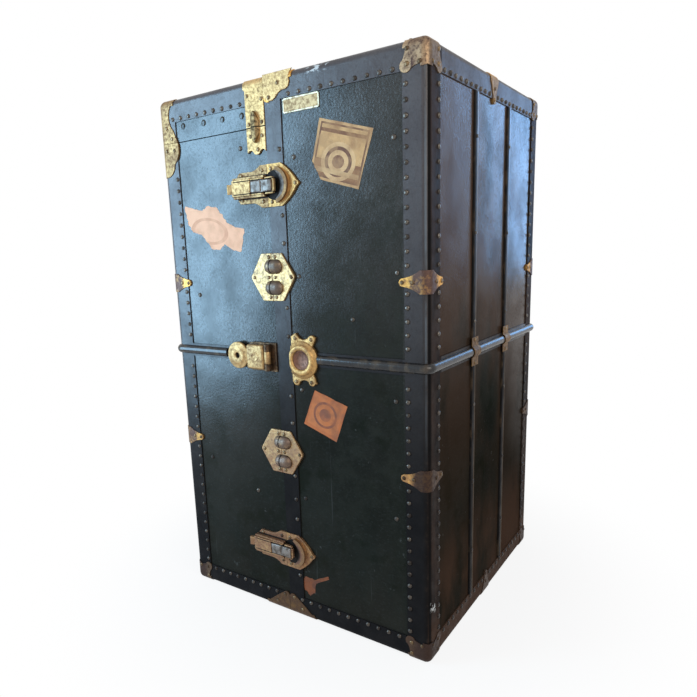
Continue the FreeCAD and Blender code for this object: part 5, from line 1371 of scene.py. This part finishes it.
class TRUNK_OT_faces(bpy.types.Operator):
    """Cast faces of the dowel plates and the seam clamp, and the relief of the latches"""

    bl_idname = "trunk.faces"
    bl_label = "Cast faces"

    clamp = (
        (-19.7, 1015.4), (43.5, 1015.4), (38.0, 1010.0), (35.6, 1003.0), (36.6, 996.0), (34.0, 989.0),
        (28.0, 985.6), (19.0, 985.2), (12.0, 982.0), (6.0, 976.0), (0.0, 972.4), (-7.0, 971.6),
        (-13.0, 974.0), (-19.7, 979.0),
    )
    steel = ((-50.5, -27.0), (-23.0, -3.0))

    def link_end(self, level):
        """The rounded end that closes the rails of a latch round its link."""
        outer = [(-19.0, -14.2)] + arc((-4.8, -8.2), 6.0, -90, 0, 5)
        inner = arc((-6.1, 7.6), 3.0, 0, 90, 3) + [(-19.0, 10.6)]
        upper = [(u, -v) for u, v in reversed(outer)]
        lower = [(u, -v) for u, v in reversed(inner)]
        bm = bmesh.new()
        outline = [(u, level + v) for u, v in outer + upper + inner[::-1] + lower[::-1]]
        plate(bm, outline, -279.6, -284.6, 0.9)
        return bm

    def crescent(self, level):
        """The thick crescent of a catch plate, inside its ring."""
        outline = arc((CATCH_X, level), 25.6, -86, 86, 20) + arc((-16.4, level), 29.4, 50, -50, 16)
        bm = bmesh.new()
        plate(bm, outline, -274.6, -281.6, 0.9)
        return bm

    def dowel_face(self, side, level):
        """Half of a dowel plate, from the seam to its tip."""
        way = 1 if side == "right" else -1
        seam = SEAM_X + way * 0.3
        half = [(0, 42.6), (21.0, 42.6)] + arc((21.0, 38.6), 4.0, 80, 40, 3)
        half += arc((42.5, 0), 6.6, 38, 0, 4)
        outline = half + [(u, -v) for u, v in reversed(half[:-1])]
        bm = bmesh.new()
        plate(bm, [(seam + way * u, level + v) for u, v in outline], BOARD_Y, -275.9, 1.0)
        return bm

    def execute(self, context):
        c = context.scene.trunk_colours
        brass = bpy.data.materials["dowel_brass"]
        for side, body in (("right", "drawer_half"), ("left", "hanger_half")):
            for name, level in zip(("upper", "lower"), DOWEL_Z):
                bm = self.dowel_face(side, level)
                new_piece(bm, f"dowel_face_{side}_{name}", body, brass, smooth=False)
        bm = bmesh.new()
        plate(bm, self.clamp, -273.0, -275.0, 0.6)
        gold = brass_finish("clamp_gold", c.brass_pale, c.brass_dull, 0.52, 0.0)
        new_piece(bm, "seam_clamps_face", "drawer_half", gold, smooth=False)
        steel = bpy.data.materials["grey_steel"]
        lever = bpy.data.materials["lever_brass"]
        bronze = brass_finish(
            "crescent_bronze", c.brass_grey, CRESCENT_SKIN, 0.48, 0.1, grime=crescent_hollow
        )
        for name, level in zip(("top", "bottom"), LATCH_Z):
            bm = bmesh.new()
            for start, end in self.steel:
                pillow(bm, (start, -287.2, level - 9.8), (end, -283.2, level + 9.8), 1.6, 3)
            new_piece(bm, f"latch_steel_{name}", f"{name}_link", steel)
            bm = self.link_end(level)
            new_piece(bm, f"latch_end_{name}", f"{name}_link", lever, smooth=False)
            bm = self.crescent(level)
            name = f"catch_crescent_{name}"
            new_piece(bm, name, "drawer_half", bronze, smooth=False)
        return {"FINISHED"}


def pale_rays(nodes):
    """One for rays that see the backdrop itself: straight, mirrored or passed through."""
    path = nodes.add("ShaderNodeLightPath").outputs
    return nodes.most(path["Is Camera Ray"], path["Is Glossy Ray"], path["Is Transmission Ray"])


class TRUNK_OT_stage(bpy.types.Operator):
    """Pale floor, soft studio light and the camera"""

    bl_idname = "trunk.stage"
    bl_label = "Stage"

    eye = Vector((0.6858, -1.1298, 0.7208))
    ahead = Vector((-0.56956, 0.79654, -0.20279))
    across = Vector((0.81749, 0.57463, -0.03894))
    focal = 31.143
    shift = (0.04235, 0.03828)
    fill = 0.40
    # Each lamp's name, place, target, width and height, watts, colour and roll in degrees
    lamps = (
        ("window", (-1.57, -1.6, 0.90), (-0.15, -0.27, 0.80), (0.8, 1.76), 64, (0.40, 0.71, 1.0), -14),
        ("back_window", (1.02, 3.0, 1.3), (0.3, 0.2, 0.8), (0.55, 1.6), 17, (0.16, 0.48, 1.0), 12),
        ("side_fill", (2.6, -1.2, 1.9), (0.3, 0.0, 0.6), (1.6, 1.6), 34, (1.0, 0.95, 0.88), 0),
    )

    def add_floor(self, tone):
        bm = bmesh.new()
        bmesh.ops.create_grid(bm, x_segments=8, y_segments=8, size=9.0)
        bmesh.ops.translate(bm, vec=(0, 0, -0.0006), verts=bm.verts)
        mesh = template(bm, "floor")
        floor = placed("floor", mesh)
        f = Finish("floor_paper", tone)
        f.lay(f.patches(0.004, 0.3, 0.7, detail=2.0), FLOOR_GRAIN)
        f.done(0.9, level=0.1)
        white = f.add("ShaderNodeEmission")
        fade = f.between(f.reach(f.x, f.y), 0.30, 0.75, 0.87, 1.0)
        mix = f.add("ShaderNodeMixShader")
        f.feed(mix.inputs[0], f.times(pale_rays(f), fade))
        f.feed(mix.inputs[1], f.shader.outputs["BSDF"])
        f.feed(mix.inputs[2], white.outputs["Emission"])
        f.feed(f.surface, mix.outputs["Shader"])
        mesh.materials.append(f.material)

    def add_world(self):
        world = bpy.data.worlds.new("studio")
        bpy.context.scene.world = world
        nodes = Nodes(world)
        sky = nodes.add("ShaderNodeBackground")
        nodes.feed(sky.inputs["Color"], (1, 1, 1))
        strength = nodes.between(pale_rays(nodes), 0.0, 1.0, self.fill, 1.0)
        nodes.feed(sky.inputs["Strength"], strength)
        output = nodes.add("ShaderNodeOutputWorld")
        nodes.feed(output.inputs["Surface"], sky.outputs["Background"])

    def add_lamp(self, name, place, target, size, power, tone, roll):
        data = bpy.data.lights.new(name, "AREA")
        data.shape = "RECTANGLE"
        data.size, data.size_y = size
        data.energy = power
        data.color = tone
        lamp = placed(name, data)
        place = Vector(place)
        lamp.location = place
        turn = (Vector(target) - place).to_track_quat("-Z", "Y").to_matrix()
        lamp.rotation_euler = (turn @ Matrix.Rotation(math.radians(roll), 3, "Z")).to_euler()
        lamp.visible_camera = False

    def add_camera(self):
        data = bpy.data.cameras.new("camera")
        data.sensor_width = 36.0
        data.sensor_fit = "HORIZONTAL"
        data.lens = self.focal
        data.shift_x, data.shift_y = self.shift
        camera = placed("camera", data)
        up = self.across.cross(self.ahead)
        turn = Matrix((self.across, up, -self.ahead)).transposed()
        camera.matrix_world = Matrix.Translation(self.eye) @ turn.to_4x4()
        bpy.context.scene.camera = camera

    def execute(self, context):
        context.scene.view_settings.view_transform = "Standard"
        self.add_floor(context.scene.trunk_colours.floor)
        self.add_world()
        for lamp in self.lamps:
            self.add_lamp(*lamp)
        self.add_camera()
        return {"FINISHED"}


class TRUNK_PT_panel(bpy.types.Panel):
    """The trunk's steps and values in the sidebar"""

    bl_label = "Wardrobe trunk"
    bl_idname = "TRUNK_PT_panel"
    bl_space_type = "VIEW_3D"
    bl_region_type = "UI"
    bl_category = "Trunk"

    def draw(self, context):
        for step in STEPS:
            self.layout.operator(step.bl_idname)
        for values in (context.scene.trunk_sizes, context.scene.trunk_colours):
            for name in values.__annotations__:
                self.layout.prop(values, name)


STEPS = (
    TRUNK_OT_case,
    TRUNK_OT_slats,
    TRUNK_OT_fittings,
    TRUNK_OT_inside,
    TRUNK_OT_lock,
    TRUNK_OT_faces,
    TRUNK_OT_name_plate,
    TRUNK_OT_labels,
    TRUNK_OT_nails,
    TRUNK_OT_stage,
)
CLASSES = (TrunkSizes, TrunkColours, *STEPS, TRUNK_PT_panel)


def register():
    for item in CLASSES:
        bpy.utils.register_class(item)
    bpy.types.Scene.trunk_sizes = bpy.props.PointerProperty(type=TrunkSizes)
    bpy.types.Scene.trunk_colours = bpy.props.PointerProperty(type=TrunkColours)


def unregister():
    del bpy.types.Scene.trunk_colours
    del bpy.types.Scene.trunk_sizes
    for item in reversed(CLASSES):
        bpy.utils.unregister_class(item)


def main():
    register()
    bpy.ops.trunk.case()
    bpy.ops.trunk.slats()
    bpy.ops.trunk.fittings()
    bpy.ops.trunk.inside()
    bpy.ops.trunk.lock()
    bpy.ops.trunk.faces()
    bpy.ops.trunk.name_plate()
    bpy.ops.trunk.labels()
    bpy.ops.trunk.nails()
    bpy.ops.trunk.stage()


if __name__ == "__main__":
    main()
